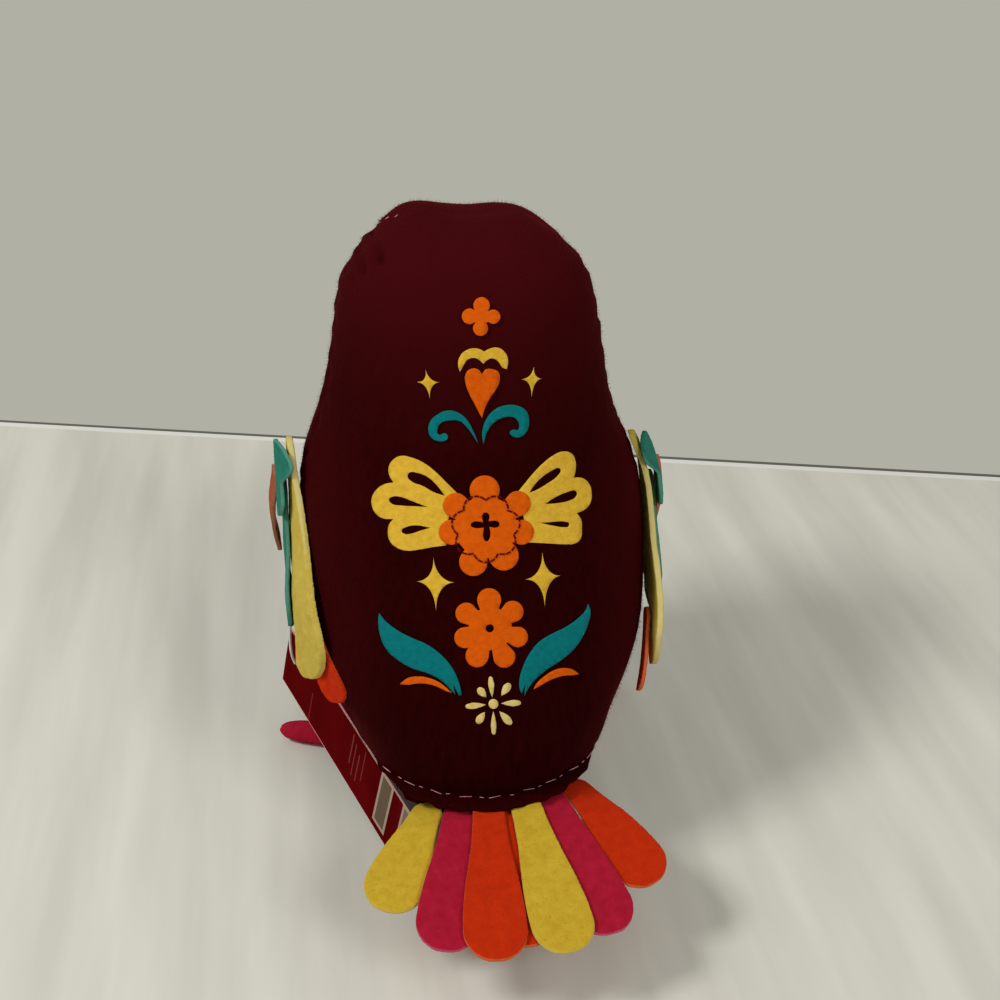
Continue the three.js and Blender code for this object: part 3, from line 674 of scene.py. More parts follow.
# Print on the back, drawn on a flat sheet in millimetres and laid on the body along the view
printSheet = {"away": 337.8, "right": -4.05, "up": -6.76, "lift": 0.3, "thick": 0.2, "grid": 1.6,
              "cuts": ((-31.27, 29), (-57.39, 62)), "starSides": 3.7}
sharp = "sharp"
fanLeft = [
    (-7.5, 8.6, sharp), (-10.5, 11.6), (-13.3, 14.4), (-16.6, 16.9), (-19.9, 18.3), (-22.6, 18.7), (-24.7, 17.6),
    (-25.8, 15.7), (-25.7, 13.5), (-24.6, 11.5, sharp), (-26.8, 11.1), (-29.0, 9.7), (-30.3, 7.5), (-30.4, 5.5),
    (-29.3, 3.1), (-27.3, 1.8), (-24.7, 1.6, sharp), (-25.7, 0.3), (-26.1, -1.6), (-25.5, -4.4), (-23.5, -6.2),
    (-21.0, -6.9), (-17.1, -6.5), (-13.8, -5.9), (-10.5, -5.5, sharp), (-10.0, 1.1)]
fanLeftSlots = [
    [(-20.8, 13.2), (-20.2, 14.2), (-18.2, 14.1), (-15.5, 13.0), (-13.3, 11.1), (-10.8, 7.9, sharp), (-13.8, 8.9),
     (-16.6, 10.5), (-19.9, 11.9)],
    [(-25.8, 6.9), (-24.7, 7.7), (-22.6, 7.6), (-19.9, 6.6), (-15.5, 4.9, sharp), (-18.8, 5.1), (-22.6, 5.3),
     (-25.1, 5.8)],
    [(-22.4, -1.5), (-21.0, -0.5), (-18.8, -0.1), (-14.6, -0.7, sharp), (-17.1, -1.4), (-19.9, -2.3),
     (-21.8, -2.3)]]
fanRight = [
    (8.5, 8.6, sharp), (10.5, 11.1), (12.7, 13.8), (15.4, 16.6), (18.2, 18.8), (20.9, 19.9), (23.1, 19.3),
    (24.1, 17.4), (24.2, 14.9), (23.7, 12.8, sharp), (25.9, 12.7), (27.8, 11.1), (28.5, 8.6), (28.2, 6.1),
    (26.7, 4.2), (24.5, 3.2, sharp), (25.6, 1.7), (25.9, -1.1), (25.6, -3.6), (24.2, -4.9), (21.5, -5.2),
    (17.6, -5.0), (14.3, -4.8), (11.0, -4.7, sharp), (10.5, 1.1)]
fanRightSlots = [
    [(20.2, 14.9), (19.6, 15.4), (17.6, 14.6), (14.9, 12.7), (12.9, 10.5), (11.8, 8.7, sharp), (13.8, 9.5),
     (16.5, 11.1), (19.6, 13.5)],
    [(24.6, 8.6), (24.0, 9.3), (22.0, 8.9), (18.7, 7.5), (16.1, 5.7, sharp), (19.3, 5.9), (22.6, 6.6), (24.2, 7.5)],
    [(22.5, 0.4), (21.5, 0.9), (18.7, 0.9), (15.1, 0.5, sharp), (18.2, -0.2), (21.5, -0.6), (22.3, -0.4)]]
bigFlower = [
    (-0.2, 9.4, 4.0), (8.7, 5.8, 3.4), (9.6, -1.9, 3.4), (4.9, -8.2, 4.0), (-3.2, -9.9, 3.8), (-9.0, -1.9, 3.4),
    (-7.9, 5.3, 3.4), (0.1, -0.5, 8.3)]
flowerCross = [
    (-0.8, 2.8), (0.1, 3.4), (1.0, 2.8), (0.9, 1.0, sharp), (3.3, 1.0), (3.8, 0.0), (3.2, -0.6), (1.1, -0.5, sharp),
    (1.3, -3.0), (0.3, -4.4), (-0.6, -3.2), (-0.4, -0.7, sharp), (-3.1, -0.7), (-3.9, 0.0), (-3.1, 0.9),
    (-0.6, 0.7, sharp)]
lowFlower = [
    (1.0, -20.2, 3.2), (7.3, -23.3, 2.9), (8.6, -30.1, 2.8), (5.0, -35.4, 3.0), (-2.2, -35.2, 3.1),
    (-5.5, -30.3, 2.8), (-5.1, -23.8, 2.9), (1.3, -27.9, 5.8)]
quatrefoil = [(-1.0, 59.2, 2.2), (2.1, 56.2, 1.9), (-1.3, 53.1, 2.0), (-4.2, 56.3, 2.1), (-1.1, 56.3, 2.3)]
# middle, then the points: up, right, down, left
stars = [
    [(-13.4, -15.3), (-13.9, -8.6), (-8.1, -15.5), (-13.2, -23.3), (-18.6, -15.2)],
    [(15.8, -14.1), (15.3, -7.3), (20.3, -13.6), (16.0, -22.1), (10.6, -14.7)],
    [(-15.3, 38.6), (-16.0, 42.2), (-12.2, 38.6), (-14.8, 34.0), (-18.2, 38.6)],
    [(12.7, 39.5), (13.0, 42.8), (15.2, 39.6), (12.4, 34.6), (9.5, 39.4)]]
brace = [
    (-6.8, 41.4, sharp), (-7.3, 43.4), (-6.7, 45.8), (-5.2, 47.2), (-3.1, 47.8), (-1.3, 47.5), (-0.3, 46.9, sharp),
    (1.0, 47.6), (3.1, 48.0), (5.1, 46.9), (6.1, 44.6), (5.8, 42.2, sharp), (4.5, 42.7), (3.6, 44.1), (1.9, 45.1),
    (0.5, 44.6), (-0.5, 43.6, sharp), (-1.6, 44.6), (-3.1, 45.2), (-4.9, 44.6), (-5.7, 43.4)]
heart = [
    (-0.9, 40.8, sharp), (-1.9, 42.1), (-4.0, 42.2), (-5.3, 40.8), (-5.3, 38.4), (-4.3, 35.5), (-2.8, 32.6),
    (-1.6, 30.2), (-0.9, 29.0, sharp), (-0.3, 31.1), (1.0, 34.0), (2.8, 36.7), (3.8, 39.0), (3.5, 41.4),
    (1.9, 42.2), (0.1, 42.1)]
scrolls = [
    [(-1.9, 22.1, sharp), (-3.4, 25.8), (-5.2, 28.8), (-7.5, 30.5), (-10.1, 31.0), (-12.8, 29.9), (-14.8, 27.9),
     (-15.2, 25.2), (-14.2, 23.4), (-12.5, 22.7), (-10.6, 22.9), (-10.0, 23.8), (-10.7, 24.8), (-12.5, 24.5),
     (-12.8, 25.8), (-11.9, 27.6), (-9.5, 28.3), (-6.9, 28.1), (-4.9, 26.4), (-3.2, 24.1)],
    [(-0.5, 21.9, sharp), (-0.8, 25.2), (0.4, 28.8), (2.8, 31.4), (5.7, 32.4), (8.6, 32.3), (11.0, 30.8),
     (11.7, 28.5), (11.0, 25.2), (8.9, 23.7), (7.2, 24.1), (6.6, 25.1), (7.5, 25.8), (8.7, 25.7), (9.1, 27.0),
     (8.6, 28.3), (7.5, 29.2), (4.5, 29.0), (2.2, 27.6), (0.5, 25.2)]]
leaves = [
    [(-28.4, -23.8, sharp), (-26.6, -26.0), (-23.0, -28.7), (-19.4, -30.5), (-15.4, -32.3), (-11.8, -35.0),
     (-9.1, -38.1), (-7.1, -42.2), (-6.3, -45.7, sharp), (-7.0, -46.0, sharp), (-8.5, -42.9, sharp),
     (-8.0, -45.7, sharp), (-9.1, -44.4), (-11.3, -42.2), (-14.9, -40.1), (-19.4, -38.6), (-23.4, -36.3),
     (-26.6, -33.2), (-28.2, -29.2), (-28.6, -25.6)],
    [(27.6, -21.3, sharp), (28.2, -23.3), (27.6, -26.5), (26.1, -30.1), (23.6, -33.6), (20.5, -36.3), (16.4, -39.0),
     (13.3, -41.7), (11.3, -44.4), (10.5, -46.0, sharp), (10.8, -42.8, sharp), (9.8, -45.4, sharp), (9.3, -44.4),
     (9.2, -41.7), (10.2, -38.1), (12.0, -34.5), (14.6, -31.4), (18.2, -29.2), (21.8, -27.4), (25.0, -25.1),
     (27.0, -22.9)]]
crescents = [
    [(-22.8, -42.7, sharp), (-20.8, -41.2), (-18.1, -40.7), (-14.9, -41.2), (-11.8, -42.6), (-8.9, -45.1, sharp),
     (-10.5, -44.6), (-12.7, -43.5), (-15.4, -42.7), (-18.1, -42.6), (-20.8, -42.9)],
    [(25.0, -40.1, sharp), (23.6, -39.0), (21.4, -38.5), (18.7, -39.0), (16.0, -40.6), (13.8, -42.6),
     (12.9, -44.2, sharp), (14.6, -43.3), (16.4, -42.2), (18.7, -41.2), (21.4, -40.5), (23.2, -40.4)]]
burstDot = (2.2, -48.2, 1.3)
# from near the middle to the end, then the half width
burstRays = [
    ((1.9, -46.4), (1.4, -40.8), 0.7), ((2.2, -50.2), (2.3, -56.4), 0.65),
    ((0.2, -48.4), (-5.3, -48.9), 0.75), ((4.3, -48.1), (9.6, -47.9), 0.75),
    ((0.3, -46.4), (-1.9, -43.9), 0.95), ((4.3, -46.0), (6.6, -42.7), 0.95),
    ((-0.1, -50.4), (-2.2, -53.4), 0.95), ((3.8, -50.2), (7.0, -53.7), 0.95)]


def petalOutline(circles, steps=220):
    # the outer edge of overlapping round petals, seen from the last circle's middle
    x, y, core = circles[-1]
    points = []
    for n in range(steps):
        turn = 2 * math.pi * n / steps
        way = (math.cos(turn), math.sin(turn))
        reach = core
        for px, py, r in circles[:-1]:
            along = (px - x) * way[0] + (py - y) * way[1]
            off = (px - x) ** 2 + (py - y) ** 2 - along ** 2
            if off < r * r:
                reach = max(reach, along + math.sqrt(r * r - off))
        points.append((x + reach * way[0], y + reach * way[1], sharp))
    return points


def dotOutline(x, y, r):
    return [(x + r * math.cos(n * math.pi / 12), y + r * math.sin(n * math.pi / 12), sharp) for n in range(24)]


def starOutline(star, steps=14):
    # four drawn-in sides between long points
    (mx, my), tips = star[0], star[1:]
    points = []
    for a, b in zip(tips, tips[1:] + tips[:1]):
        for n in range(steps):
            turn = n / steps * math.pi / 2
            s, t = (c ** printSheet["starSides"] for c in (math.cos(turn), math.sin(turn)))
            points.append((mx + (a[0] - mx) * s + (b[0] - mx) * t, my + (a[1] - my) * s + (b[1] - my) * t, sharp))
    return points


def rayOutline(start, end, half):
    # a drop shape from its pointed start to its round end
    a, b = Vector(start), Vector(end)
    way = (b - a).normalized()
    side = Vector((-way.y, way.x)) * half
    return [(*a, sharp), (*(a.lerp(b, 0.35) + side * 0.8),), (*(a.lerp(b, 0.75) + side),), (*b,),
            (*(a.lerp(b, 0.75) - side),), (*(a.lerp(b, 0.35) - side * 0.8),)]


def sheetToView(u, v):
    return (cameraPlace["at"] + cameraAhead * mm(printSheet["away"]) + cameraRight * mm(u + printSheet["right"])
            + cameraUp * mm(v + printSheet["up"]))


def makePrint(name, outlines, material, extraLift=0.0):
    # outlines become filled curves, are cut by a fine grid and laid on the body
    curve = bpy.data.curves.new(name, "CURVE")
    curve.dimensions = "2D"
    curve.fill_mode = "BOTH"
    curve.resolution_u = 5
    for points in outlines:
        spline = curve.splines.new("BEZIER")
        spline.use_cyclic_u = True
        spline.bezier_points.add(len(points) - 1)
        for knot, point in zip(spline.bezier_points, points):
            knot.co = (point[0], point[1], 0)
            kind = "VECTOR" if len(point) > 2 else "AUTO"
            knot.handle_left_type = knot.handle_right_type = kind
    piece = bpy.data.objects.new(name, curve)
    bpy.context.scene.collection.objects.link(piece)
    workOn(piece)
    bpy.ops.object.convert(target="MESH")
    piece = bpy.context.object
    editWhole(piece)
    bpy.ops.mesh.remove_doubles(threshold=0.01)
    for axis, (low, high) in enumerate(printSheet["cuts"]):
        cut = low
        while cut < high:
            place, way = [0, 0, 0], [0, 0, 0]
            place[axis], way[axis] = cut, 1
            bpy.ops.mesh.select_all(action="SELECT")
            bpy.ops.mesh.bisect(plane_co=place, plane_no=way)
            cut += printSheet["grid"]
    bpy.ops.object.mode_set(mode="OBJECT")
    lift = mm(printSheet["lift"] + extraLift)

    def onBody(p):
        aim = sheetToView(p.x, p.y) - cameraPlace["at"]
        place, normal = bodyTree.ray_cast(cameraPlace["at"], aim.normalized())[:2]
        return place + normal * lift
    moveVertices(piece, onBody)
    setNormalsOutward(piece)
    toCamera = sum((f.normal.dot(cameraAhead) < 0) for f in piece.data.polygons) / max(len(piece.data.polygons), 1)
    if toCamera < 0.5:
        piece.data.flip_normals()
    addModifier(piece, "SOLIDIFY", thickness=mm(printSheet["thick"]), offset=1)
    finishModifiers(piece)
    dress(piece, material, "bird")
    return piece


def dashedLine(outline, dash, gap, half):
    # short strokes along a closed line
    points = [Vector(p[:2]) for p in outline] + [Vector(outline[0][:2])]
    strokes, stroke, run, drawing = [], [], 0.0, True
    for a, b in zip(points, points[1:]):
        stroke.append(a)
        run += (b - a).length
        if run > (dash if drawing else gap):
            if drawing and len(stroke) > 1:
                strokes.append(stroke + [b])
            stroke, run, drawing = [], 0.0, not drawing
    result = []
    for stroke in strokes:
        sides = [[], []]
        for n, p in enumerate(stroke):
            way = (stroke[min(n + 1, len(stroke) - 1)] - stroke[max(n - 1, 0)]).normalized()
            off = Vector((-way.y, way.x)) * half
            sides[0].append((*(p + off), sharp))
            sides[1].append((*(p - off), sharp))
        result.append(sides[0] + sides[1][::-1])
    return result


innerPetals = [(0.1 + 5.8 * math.cos(math.radians(a)), -0.8 + 5.8 * math.sin(math.radians(a)), 3.4)
               for a in (-90, -38.6, 12.9, 64.3, 115.7, 167.1, 218.6)] + [(0.1, -0.8, 5.8)]
fans = [fanLeft, *fanLeftSlots, fanRight, *fanRightSlots]
makePrint("print_yellow", [*fans, brace, *[starOutline(s) for s in stars]], yellowInk)
flowers = [petalOutline(bigFlower), flowerCross, petalOutline(lowFlower), dotOutline(1.2, -27.8, 1.1),
           petalOutline(quatrefoil)]
makePrint("print_orange", [*flowers, heart, *crescents], orangeInk, extraLift=0.16)
makePrint("print_teal", [*scrolls, *leaves], tealInk)
makePrint("print_cream", [dotOutline(*burstDot), *[rayOutline(*r) for r in burstRays]], creamInk)
stitchedRing = dashedLine(petalOutline(innerPetals, 400), dash=1.3, gap=0.3, half=0.23)
makePrint("print_line", stitchedRing, lineInk, extraLift=0.34)
print("print laid on the back")


# Felt leaves: tail feathers and wing leaves, cut from sheet felt
feltCut = {
    # the faces are uneven: how much, and over what finer and coarser lengths
    "voxel": 0.26, "soften": 6, "wobble": 0.06, "wobbleOver": (1.2, 6),
    # how much of the front half of a leaf's end is cut away, and over what length
    "trims": {"main_leaf": 0.85, "inner_feather": 0.7}, "trimFrom": 34, "trimOver": 22,
    # the rear border of the shoulder leaf's head is folded in, and a little to the rear
    "head": 9, "flap": {"left": 3.1, "right": 2.7}, "flapFrom": 9.5, "flapOver": 5.5, "flapBack": 1.6,
    # the outer leaf is sewn on at the covert leaf's root and bows outwards below it; its tip stays where it is
    "sewnBack": 12.0, "bow": {"left": 1.0, "right": 0.4}, "tipStays": 3, "rootSewn": 4,
}


def markCutEdge(piece, felt):
    # the cut edge is where the felt is deeper than its own thickness
    tree = surfaceTree(piece)
    layer = piece.data.color_attributes.new(name="cutEdge", type="BYTE_COLOR", domain="POINT")
    for vertex, mark in zip(piece.data.vertices, layer.data):
        inside = -vertex.normal
        hit = tree.ray_cast(vertex.co + inside * mm(0.02), inside)
        deep = hit[3] if hit[0] else 0
        share = clamped((deep / mm(felt) - 1.25) / 0.5)
        mark.color = (share, share, share, 1)


def cornerShare(angle):
    # how far a many-sided round end lies inside its circle, at that angle from the middle of its flat tip
    corners, flatTip = (19.95, 45.57, 67.67, 90), 0.94
    if angle < corners[0]:
        return flatTip / math.cos(math.radians(angle))
    for a, b in zip(corners, corners[1:]):
        if angle <= b:
            return math.cos(math.radians((b - a) / 2)) / math.cos(math.radians(angle - (a + b) / 2))
    return 1.0


def cutRound(piece, outline, trim):
    # brings the ends of a leaf to true arcs; the outline is its start, way, length, root and tip in millimetres
    start, way, length, root, tip = outline
    across = Vector((0, -way.z, way.y)) if abs(way.x) < 1e-6 and abs(way.z) > 1e-6 else Vector((way.y, -way.x, 0))
    for vertex in piece.data.vertices:
        local = (vertex.co - start) * 1000
        along, off = local.dot(way), local.dot(across)
        move = Vector((0, 0))
        for middle, radius, sign in ((root, root, -1), (length - tip, tip, 1)):
            out = Vector(((along - middle) * sign, off))
            if out.x > 0 and out.length > 0.3 * radius:
                share = cornerShare(math.degrees(math.atan2(abs(out.y), out.x)))
                grown = out * (1 / share - 1) * min(out.length / radius, 1) ** 4
                move += Vector((grown.x * sign, grown.y))
        if trim and off < 0:
            near = eased((along - length + feltCut["trimFrom"]) / feltCut["trimOver"])
            move.y -= (off + move.y) * trim * near
        vertex.co += (way * move.x + across * move.y) / 1000


def feltLeaf(nodeName, felt, material, body, outline):
    piece = softCopy(nodeName + "_felt", nodeName, feltCut["voxel"], feltCut["soften"])
    whole = nodeVolume(piece)
    side, leafName = nodeName.split("_", 1)
    cutRound(piece, outline, feltCut["trims"].get(leafName.replace("wing_", ""), 0))
    area = nodeVolume(nodes[nodeName]) * nodeVolume(piece) / whole / mm(felt)
    markCutEdge(piece, felt)
    normals = [v.normal.copy() for v in piece.data.vertices]
    for vertex, normal in zip(piece.data.vertices, normals):
        p = vertex.co
        fine, coarse = (noise.noise(p / mm(over)) for over in feltCut["wobbleOver"])
        vertex.co = p + normal * mm(feltCut["wobble"]) * fine + normal * mm(2 * feltCut["wobble"]) * coarse
    if nodeName.endswith("shoulder_leaf"):
        curlHead(piece, side)
    if nodeName.endswith("outer_leaf"):
        sewBack(piece, side)
    dress(piece, material, body)
    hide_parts(nodeName)


def curlHead(piece, side):
    # the rear border of the leaf's head folds in over the edge of the leaf under it
    inward = -1 if side == "left" else 1
    top = max(v.co.z for v in piece.data.vertices)
    head = [v.co.y for v in piece.data.vertices if v.co.z > top - mm(feltCut["head"])]
    middle, rear = (min(head) + max(head)) / 2, max(head)
    for vertex in piece.data.vertices:
        over = min(max((vertex.co.y - middle) / (rear - middle) + 0.15, 0), 1.1)
        high = eased((vertex.co.z - top + mm(feltCut["flapFrom"])) / mm(feltCut["flapOver"]))
        vertex.co.x += inward * mm(feltCut["flap"][side]) * over * high
        vertex.co.y += mm(feltCut["flapBack"]) * over * high


def sewBack(piece, side):
    # the leaf's root reaches back over the covert leaf's root, its tip stays
    outward = 1 if side == "left" else -1
    heights = [v.co.z for v in piece.data.vertices]
    low, bent = min(heights), max(heights) - min(heights) - mm(feltCut["tipStays"] + feltCut["rootSewn"])
    for vertex in piece.data.vertices:
        share = clamped((vertex.co.z - low - mm(feltCut["tipStays"])) / bent)
        vertex.co.y += mm(feltCut["sewnBack"]) * eased(share)
        vertex.co.x += outward * mm(feltCut["bow"][side]) * math.sin(math.pi * share)


def nodeVolume(obj):
    total = 0.0
    obj.data.calc_loop_triangles()
    for triangle in obj.data.loop_triangles:
        a, b, c = (obj.data.vertices[i].co for i in triangle.vertices)
        total += a.dot(b.cross(c)) / 6
    return abs(total)


tailFan = {
    "felt": 1.2, "offset": -3, "rearY": 51, "rootHalf": 4.2, "tip": 7.9,
    # the body's plan at its rear: middle, half depth, half width and roundness; the felt starts outside it
    "plan": (-0.7, 49.7, 37.6, 2.15), "outside": 0.9,
    # per feather from the bird's left: angle, reach and where its root is, then the felt
    "feathers": [
        (52, 43.5, 19, yellowFelt, "yellow_felt"), (27.5, 45, 11.8, pinkFelt, "pink_felt"),
        (11.4, 45.5, 4.6, orangeFelt, "orange_felt"), (-11.4, 45.5, -4.6, yellowFelt, "yellow_felt"),
        (-27.5, 45, -11.8, pinkFelt, "pink_felt"), (-52, 43.5, -19, orangeFelt, "orange_felt")],
}


def tailOutline(angle, reach, rootX, rootHalf, tip):
    # the same flat shape as in the CAD: from the body's rear edge to the tip
    rootAt = tailFan["offset"] + rootX
    middle, deep, wide, power = tailFan["plan"]
    rear = middle + deep * (1 - (abs(rootAt) / wide) ** power) ** (1 / power) + tailFan["outside"]
    start = centreLine + mm(rootAt, rear, 0)
    turn = math.radians(angle)
    end = centreLine + mm(tailFan["offset"] + reach * math.sin(turn), tailFan["rearY"] + reach * math.cos(turn), 0)
    return start, (end - start).normalized(), (end - start).length * 1000, rootHalf, tip


for number, (angle, reach, rootX, material, slotName) in enumerate(tailFan["feathers"], 1):
    feltLeaf(f"tail_feather_{number}", tailFan["felt"], material, "bird",
             tailOutline(angle, reach, rootX, tailFan["rootHalf"], tailFan["tip"]))
feltLeaf("tail_backing_feather", tailFan["felt"], orangeFelt, "bird",
         tailOutline(0, 41, 0, 4, 6))

# wing leaves: felt, flat width and length, then y, z and slant on the shoulder, length, root and tip
wingLeaves = [
    ("inner_feather", 1.3, 12, 24, orangeFelt, "orange_felt", (30, -39.5, 33, 23, 4, 5.5)),
    ("main_leaf", 1.8, 27, 68, paleYellowFelt, "yellow_felt", (0, 0, 33, 66, 7, 13)),
    ("covert_leaf", 1.3, 18, 43, tealFelt, "teal_felt", (1, -12.5, 30, 41, 5, 8.5)),
    ("shoulder_leaf", 1.3, 14, 22, tealFelt, "teal_felt", (2, 0.5, 27, 21, 6.5, 4)),
    ("outer_leaf", 1.3, 13, 32, coralFelt, "coral_felt", (-14, -9.5, 22, 31, 4, 6)),
]
shoulders = {"left": (-14, 109.5, -2), "right": (-11, 108.5, 0)}
for side, (shoulderY, shoulderZ, turned) in shoulders.items():
    for leafName, felt, width, length, material, slotName, (y, z, slant, long, root, tip) in wingLeaves:
        tilt = math.radians(slant + turned)
        start = centreLine + mm(0, shoulderY + y, shoulderZ + z)
        outline = (start, Vector((0, math.sin(tilt), -math.cos(tilt))), long, root, tip)
        feltLeaf(f"{side}_wing_{leafName}", felt, material, f"{side}_wing",
                 outline)
print("felt leaves cut")


# Feet: padded felt over wire
paddedFoot = {"voxel": 0.7, "soften": 6}
for side in ("left", "right"):
    foot = softCopy(f"{side}_foot_padded", f"{side}_foot", paddedFoot["voxel"], paddedFoot["soften"])
    dress(foot, pinkFelt, "bird")
    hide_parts(f"{side}_foot")


# Face: felt eye discs, glossy beads and a small stuffed beak
face = {"felt": 1.2, "discWidth": 15, "discVoxel": 0.35, "beadVoxel": 0.25, "beakVoxel": 0.6}
for side in ("left", "right"):
    discNode, beadNode = f"{side}_eye_disc", f"{side}_eye_bead"
    disc = softCopy(discNode + "_felt", discNode, face["discVoxel"], passes=4)
    dress(disc, yellowFelt, "bird")
    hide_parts(discNode)
    nodeVolume(nodes[discNode]) / mm(face["felt"])
    bead = softCopy(beadNode + "_domed", beadNode, face["beadVoxel"], passes=10)
    dress(bead, blackResin, "bird")
    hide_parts(beadNode)
beak = softCopy("beak_stuffed", "beak", face["beakVoxel"], passes=8)
dress(beak, yellowFelt, "bird")
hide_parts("beak")
print("feet and face ready")


# Swing tag: coated board with pale areas across it, on a nylon loop
tagBoard = {
    "corner": centreLine + mm(54.8, -29.8, 13.6), "turn": 23, "dip": 9, "lean": 6, "length": 80, "width": 22,
    "edge": {"end": 0.1, "lower": 0.22, "upper": 0.08},    # how much of the board's pale core shows, millimetres
    # printed areas, and thin lines of painted glossy streaks: from and to along and across, with their colour and
    # strength
    "areas": [
        (62, 69, 2.4, 22, "#a48f80", 1.0), (63, 68, 3.6, 21.4, "#5c4c3c", 0.9),
        (74.5, 80, 2.4, 22, "#a48f80", 1.0), (75.4, 80, 3.6, 21.4, "#74605a", 0.9),
        # painted reflection: the thin lines below are glossy streaks painted as colour, not print
        (45.0, 45.5, 8, 20, "#8c4a44", 0.6), (47.2, 47.6, 5, 18, "#8c4a44", 0.6),
        (49.6, 50.1, 5, 16, "#8c4a44", 0.6), (52.4, 52.8, 8, 20, "#8c4a44", 0.5),
        (19, 19.6, 0, 12, "#7c3a38", 0.5)],
}


def coatedBoard():
    # printed board under a smooth coating: maroon, pale printed areas across it, thin painted glossy streaks and a
    # pale cut edge
    turn, dip, lean = (math.radians(tagBoard[k]) for k in ("turn", "dip", "lean"))
    along = Vector((-math.sin(turn), math.cos(turn), -math.tan(dip))).normalized()
    up = (Vector((0, 0, 1)) - along * along.z).normalized()
    up = Matrix.Rotation(-lean, 3, along) @ up
    material, place = startMaterial("coatedMaroonBoard")
    local = addNode(material, "VectorMath", {"operation": "SUBTRACT", 1: tagBoard["corner"]}, {0: place})
    steps = [addNode(material, "VectorMath", {"operation": "DOT_PRODUCT", 1: way}, {0: local.outputs[0]})
             for way in (along, up, along.cross(up))]

    def within(source, low, high):
        above = addNode(material, "Math", {"operation": "GREATER_THAN", 1: mm(low)}, {0: source})
        below = addNode(material, "Math", {"operation": "LESS_THAN", 1: mm(high)}, {0: source})
        return addNode(material, "Math", {"operation": "MULTIPLY"},
                       {0: above.outputs[0], 1: below.outputs[0]}).outputs[0]
    colour = spread(material, place, "#4e0507", "#5c090b", 1 / mm(20))
    for low, high, bottom, top, tone, strength in tagBoard["areas"]:
        both = addNode(material, "Math", {"operation": "MULTIPLY"}, {
            0: within(steps[0].outputs["Value"], low, high), 1: within(steps[1].outputs["Value"], bottom, top)})
        share = addNode(material, "Math", {"operation": "MULTIPLY", 1: strength}, {0: both.outputs[0]})
        colour = addNode(material, "MixRGB", {"Color2": hexToLinear(tone)},
                         {"Fac": share.outputs[0], "Color1": colour}).outputs[0]
    # the cut edges show the board's pale core
    edge = tagBoard["edge"]
    inside = addNode(material, "Math", {"operation": "MULTIPLY"}, {
        0: within(steps[0].outputs["Value"], edge["end"], tagBoard["length"] - edge["end"]),
        1: within(steps[1].outputs["Value"], edge["lower"], tagBoard["width"] - edge["upper"])})
    colour = addNode(material, "MixRGB", {"Color1": hexToLinear("#d8a8a0")},
                     {"Fac": inside.outputs[0], "Color2": colour}).outputs[0]
    fibre = addNode(material, "TexNoise", {"Scale": 1 / mm(0.6), "Detail": 3.0}, {"Vector": place})
    bump = addNode(material, "Bump", {"Strength": 0.08, "Distance": mm(0.05)}, {"Height": fibre.outputs["Fac"]})
    return finishMaterial(material, {"Roughness": 0.6, "IOR": 1.5, "Specular IOR Level": 0.0},
                          {"Base Color": colour, "Normal": bump.outputs[0]})


def refinish(nodeName, material, smooth=False):
    mesh = nodes[nodeName].data
    mesh.materials.clear()
    mesh.materials.append(material)
    if smooth:
        workOn(nodes[nodeName])
        bpy.ops.object.shade_smooth()


refinish("tag_card", coatedBoard())
refinish("tag_loop", nylon, True)
for side in ("left", "right"):
    refinish(f"{side}_leg_wire", steel, True)


# Table, backdrop and light
stage = {
    "wall": "#b1b0a5", "world": 0.39, "edge": mm(180.8, -264.1, 0), "edgeTurn": 167.9,
    "corners": [mm(611, -356, 0), mm(-789, -57, 0), mm(-789, 1500, 0), mm(611, 1500, 0)],
    # each lamp's place, width and power
    "lamps": {"keyLight": (mm(730, 140, 860), 0.24, 6.4), "fillLight": (mm(-620, 890, 1010), 0.5, 6.4)},
}


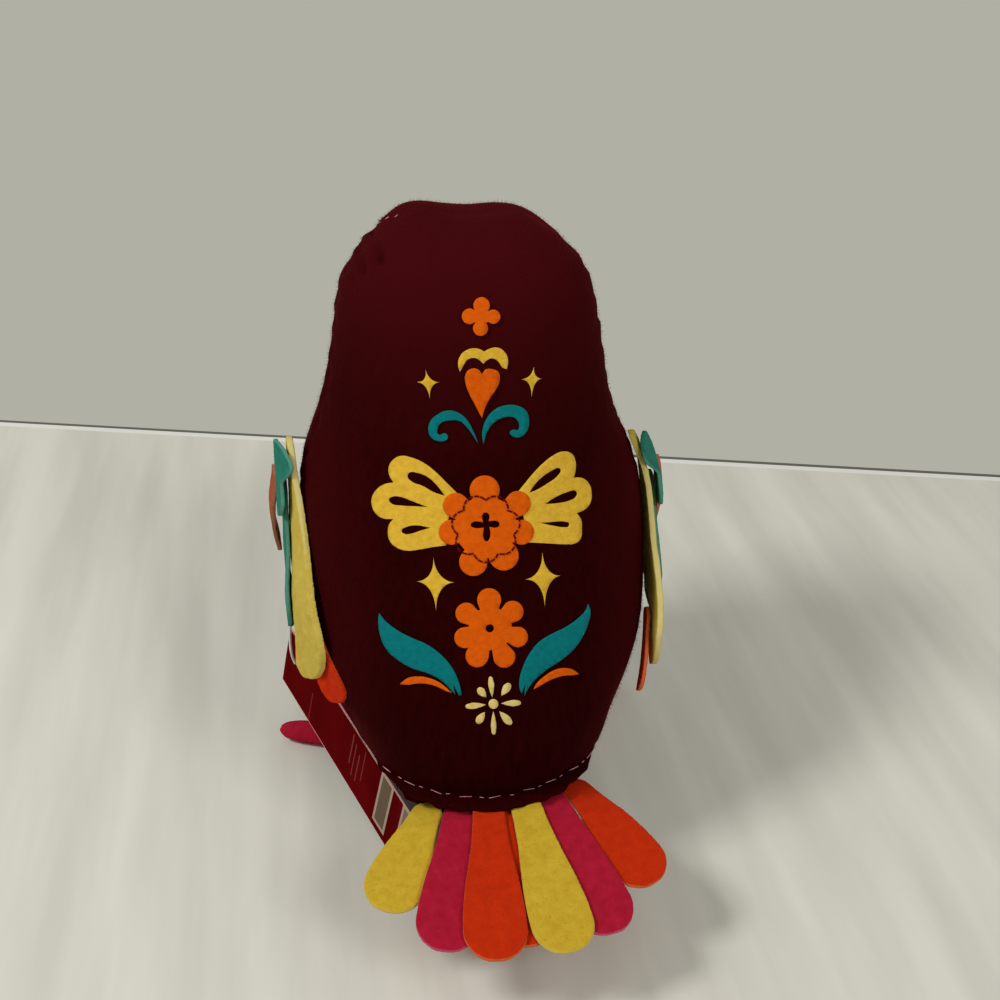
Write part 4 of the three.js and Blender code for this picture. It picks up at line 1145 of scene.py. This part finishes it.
def paperCloth():
    # pale table paper with faint pulled streaks; its far edge is a bright fold above a dark gap, both painted: a
    # painted highlight for the fold and painted shade for the gap
    material, place = startMaterial("paleTablePaper")
    drawn = addNode(material, "Mapping", {"Scale": (1 / mm(18), 1 / mm(160), 1.0)}, {"Vector": place})
    colour = spread(material, drawn.outputs[0], "#cac9bd", "#d8d7cb", 1.0, 4.0)
    turn = math.radians(stage["edgeTurn"] - 90)
    local = addNode(material, "VectorMath", {"operation": "SUBTRACT", 1: stage["edge"]}, {0: place})
    away = addNode(material, "VectorMath", {"operation": "DOT_PRODUCT", 1: (math.cos(turn), math.sin(turn), 0)},
                   {0: local.outputs[0]})
    # painted highlight strip for the fold, then painted shade strip for the gap, by distance from the far edge
    for reach, tone in ((5.5, "#e2e2da"), (2.0, "#66665e")):
        near = addNode(material, "Math", {"operation": "LESS_THAN", 1: mm(reach)}, {0: away.outputs["Value"]})
        colour = addNode(material, "MixRGB", {"Color2": hexToLinear(tone)},
                         {"Fac": near.outputs[0], "Color1": colour}).outputs[0]
    crease = addNode(material, "TexNoise", {"Scale": 1.0, "Detail": 3.0}, {"Vector": drawn.outputs[0]})
    bump = addNode(material, "Bump", {"Strength": 0.3, "Distance": mm(1)}, {"Height": crease.outputs["Fac"]})
    return finishMaterial(material, {"Roughness": 0.95, "Specular IOR Level": 0.1},
                          {"Base Color": colour, "Normal": bump.outputs[0]})


def makeStage():
    deselectAll()
    bpy.ops.mesh.primitive_plane_add(size=1, location=(0, 0, 0))
    table = bpy.context.object
    table.name = "table"
    for vertex in table.data.vertices:
        # each corner goes to the place on its own side
        x, y = (math.copysign(1, c) for c in vertex.co[:2])
        vertex.co = max(stage["corners"], key=lambda c: 2 * c.x * x + c.y * y)
    table.data.materials.append(paperCloth())
    for name, (place, size, power) in stage["lamps"].items():
        bpy.ops.object.light_add(type="AREA", location=place)
        lamp = bpy.context.object
        lamp.name = name
        lamp.data.size = size
        lamp.data.energy = power
        lamp.rotation_euler = (mm(0, 0, 80) - place).to_track_quat("-Z", "Y").to_euler()
    world = bpy.data.worlds.new("softRoom")
    bpy.context.scene.world = world
    world.use_nodes = True
    world.node_tree.nodes.clear()
    room = addNode(world, "Background", {"Color": hexToLinear("#fffdf8"), "Strength": stage["world"]})
    wall = addNode(world, "Background", {"Color": hexToLinear(stage["wall"]), "Strength": 1.0})
    path = addNode(world, "LightPath")
    seen = path.outputs["Is Camera Ray"]
    for other in ("Is Glossy Ray", "Is Transmission Ray"):
        seen = addNode(world, "Math", {"operation": "MAXIMUM"}, {0: seen, 1: path.outputs[other]}).outputs[0]
    mixed = addNode(world, "MixShader", links={0: seen, 1: room.outputs[0], 2: wall.outputs[0]})
    addNode(world, "OutputWorld", links={"Surface": mixed.outputs[0]})
    bpy.context.scene.view_settings.view_transform = "Standard"


makeStage()
print("table and light set")
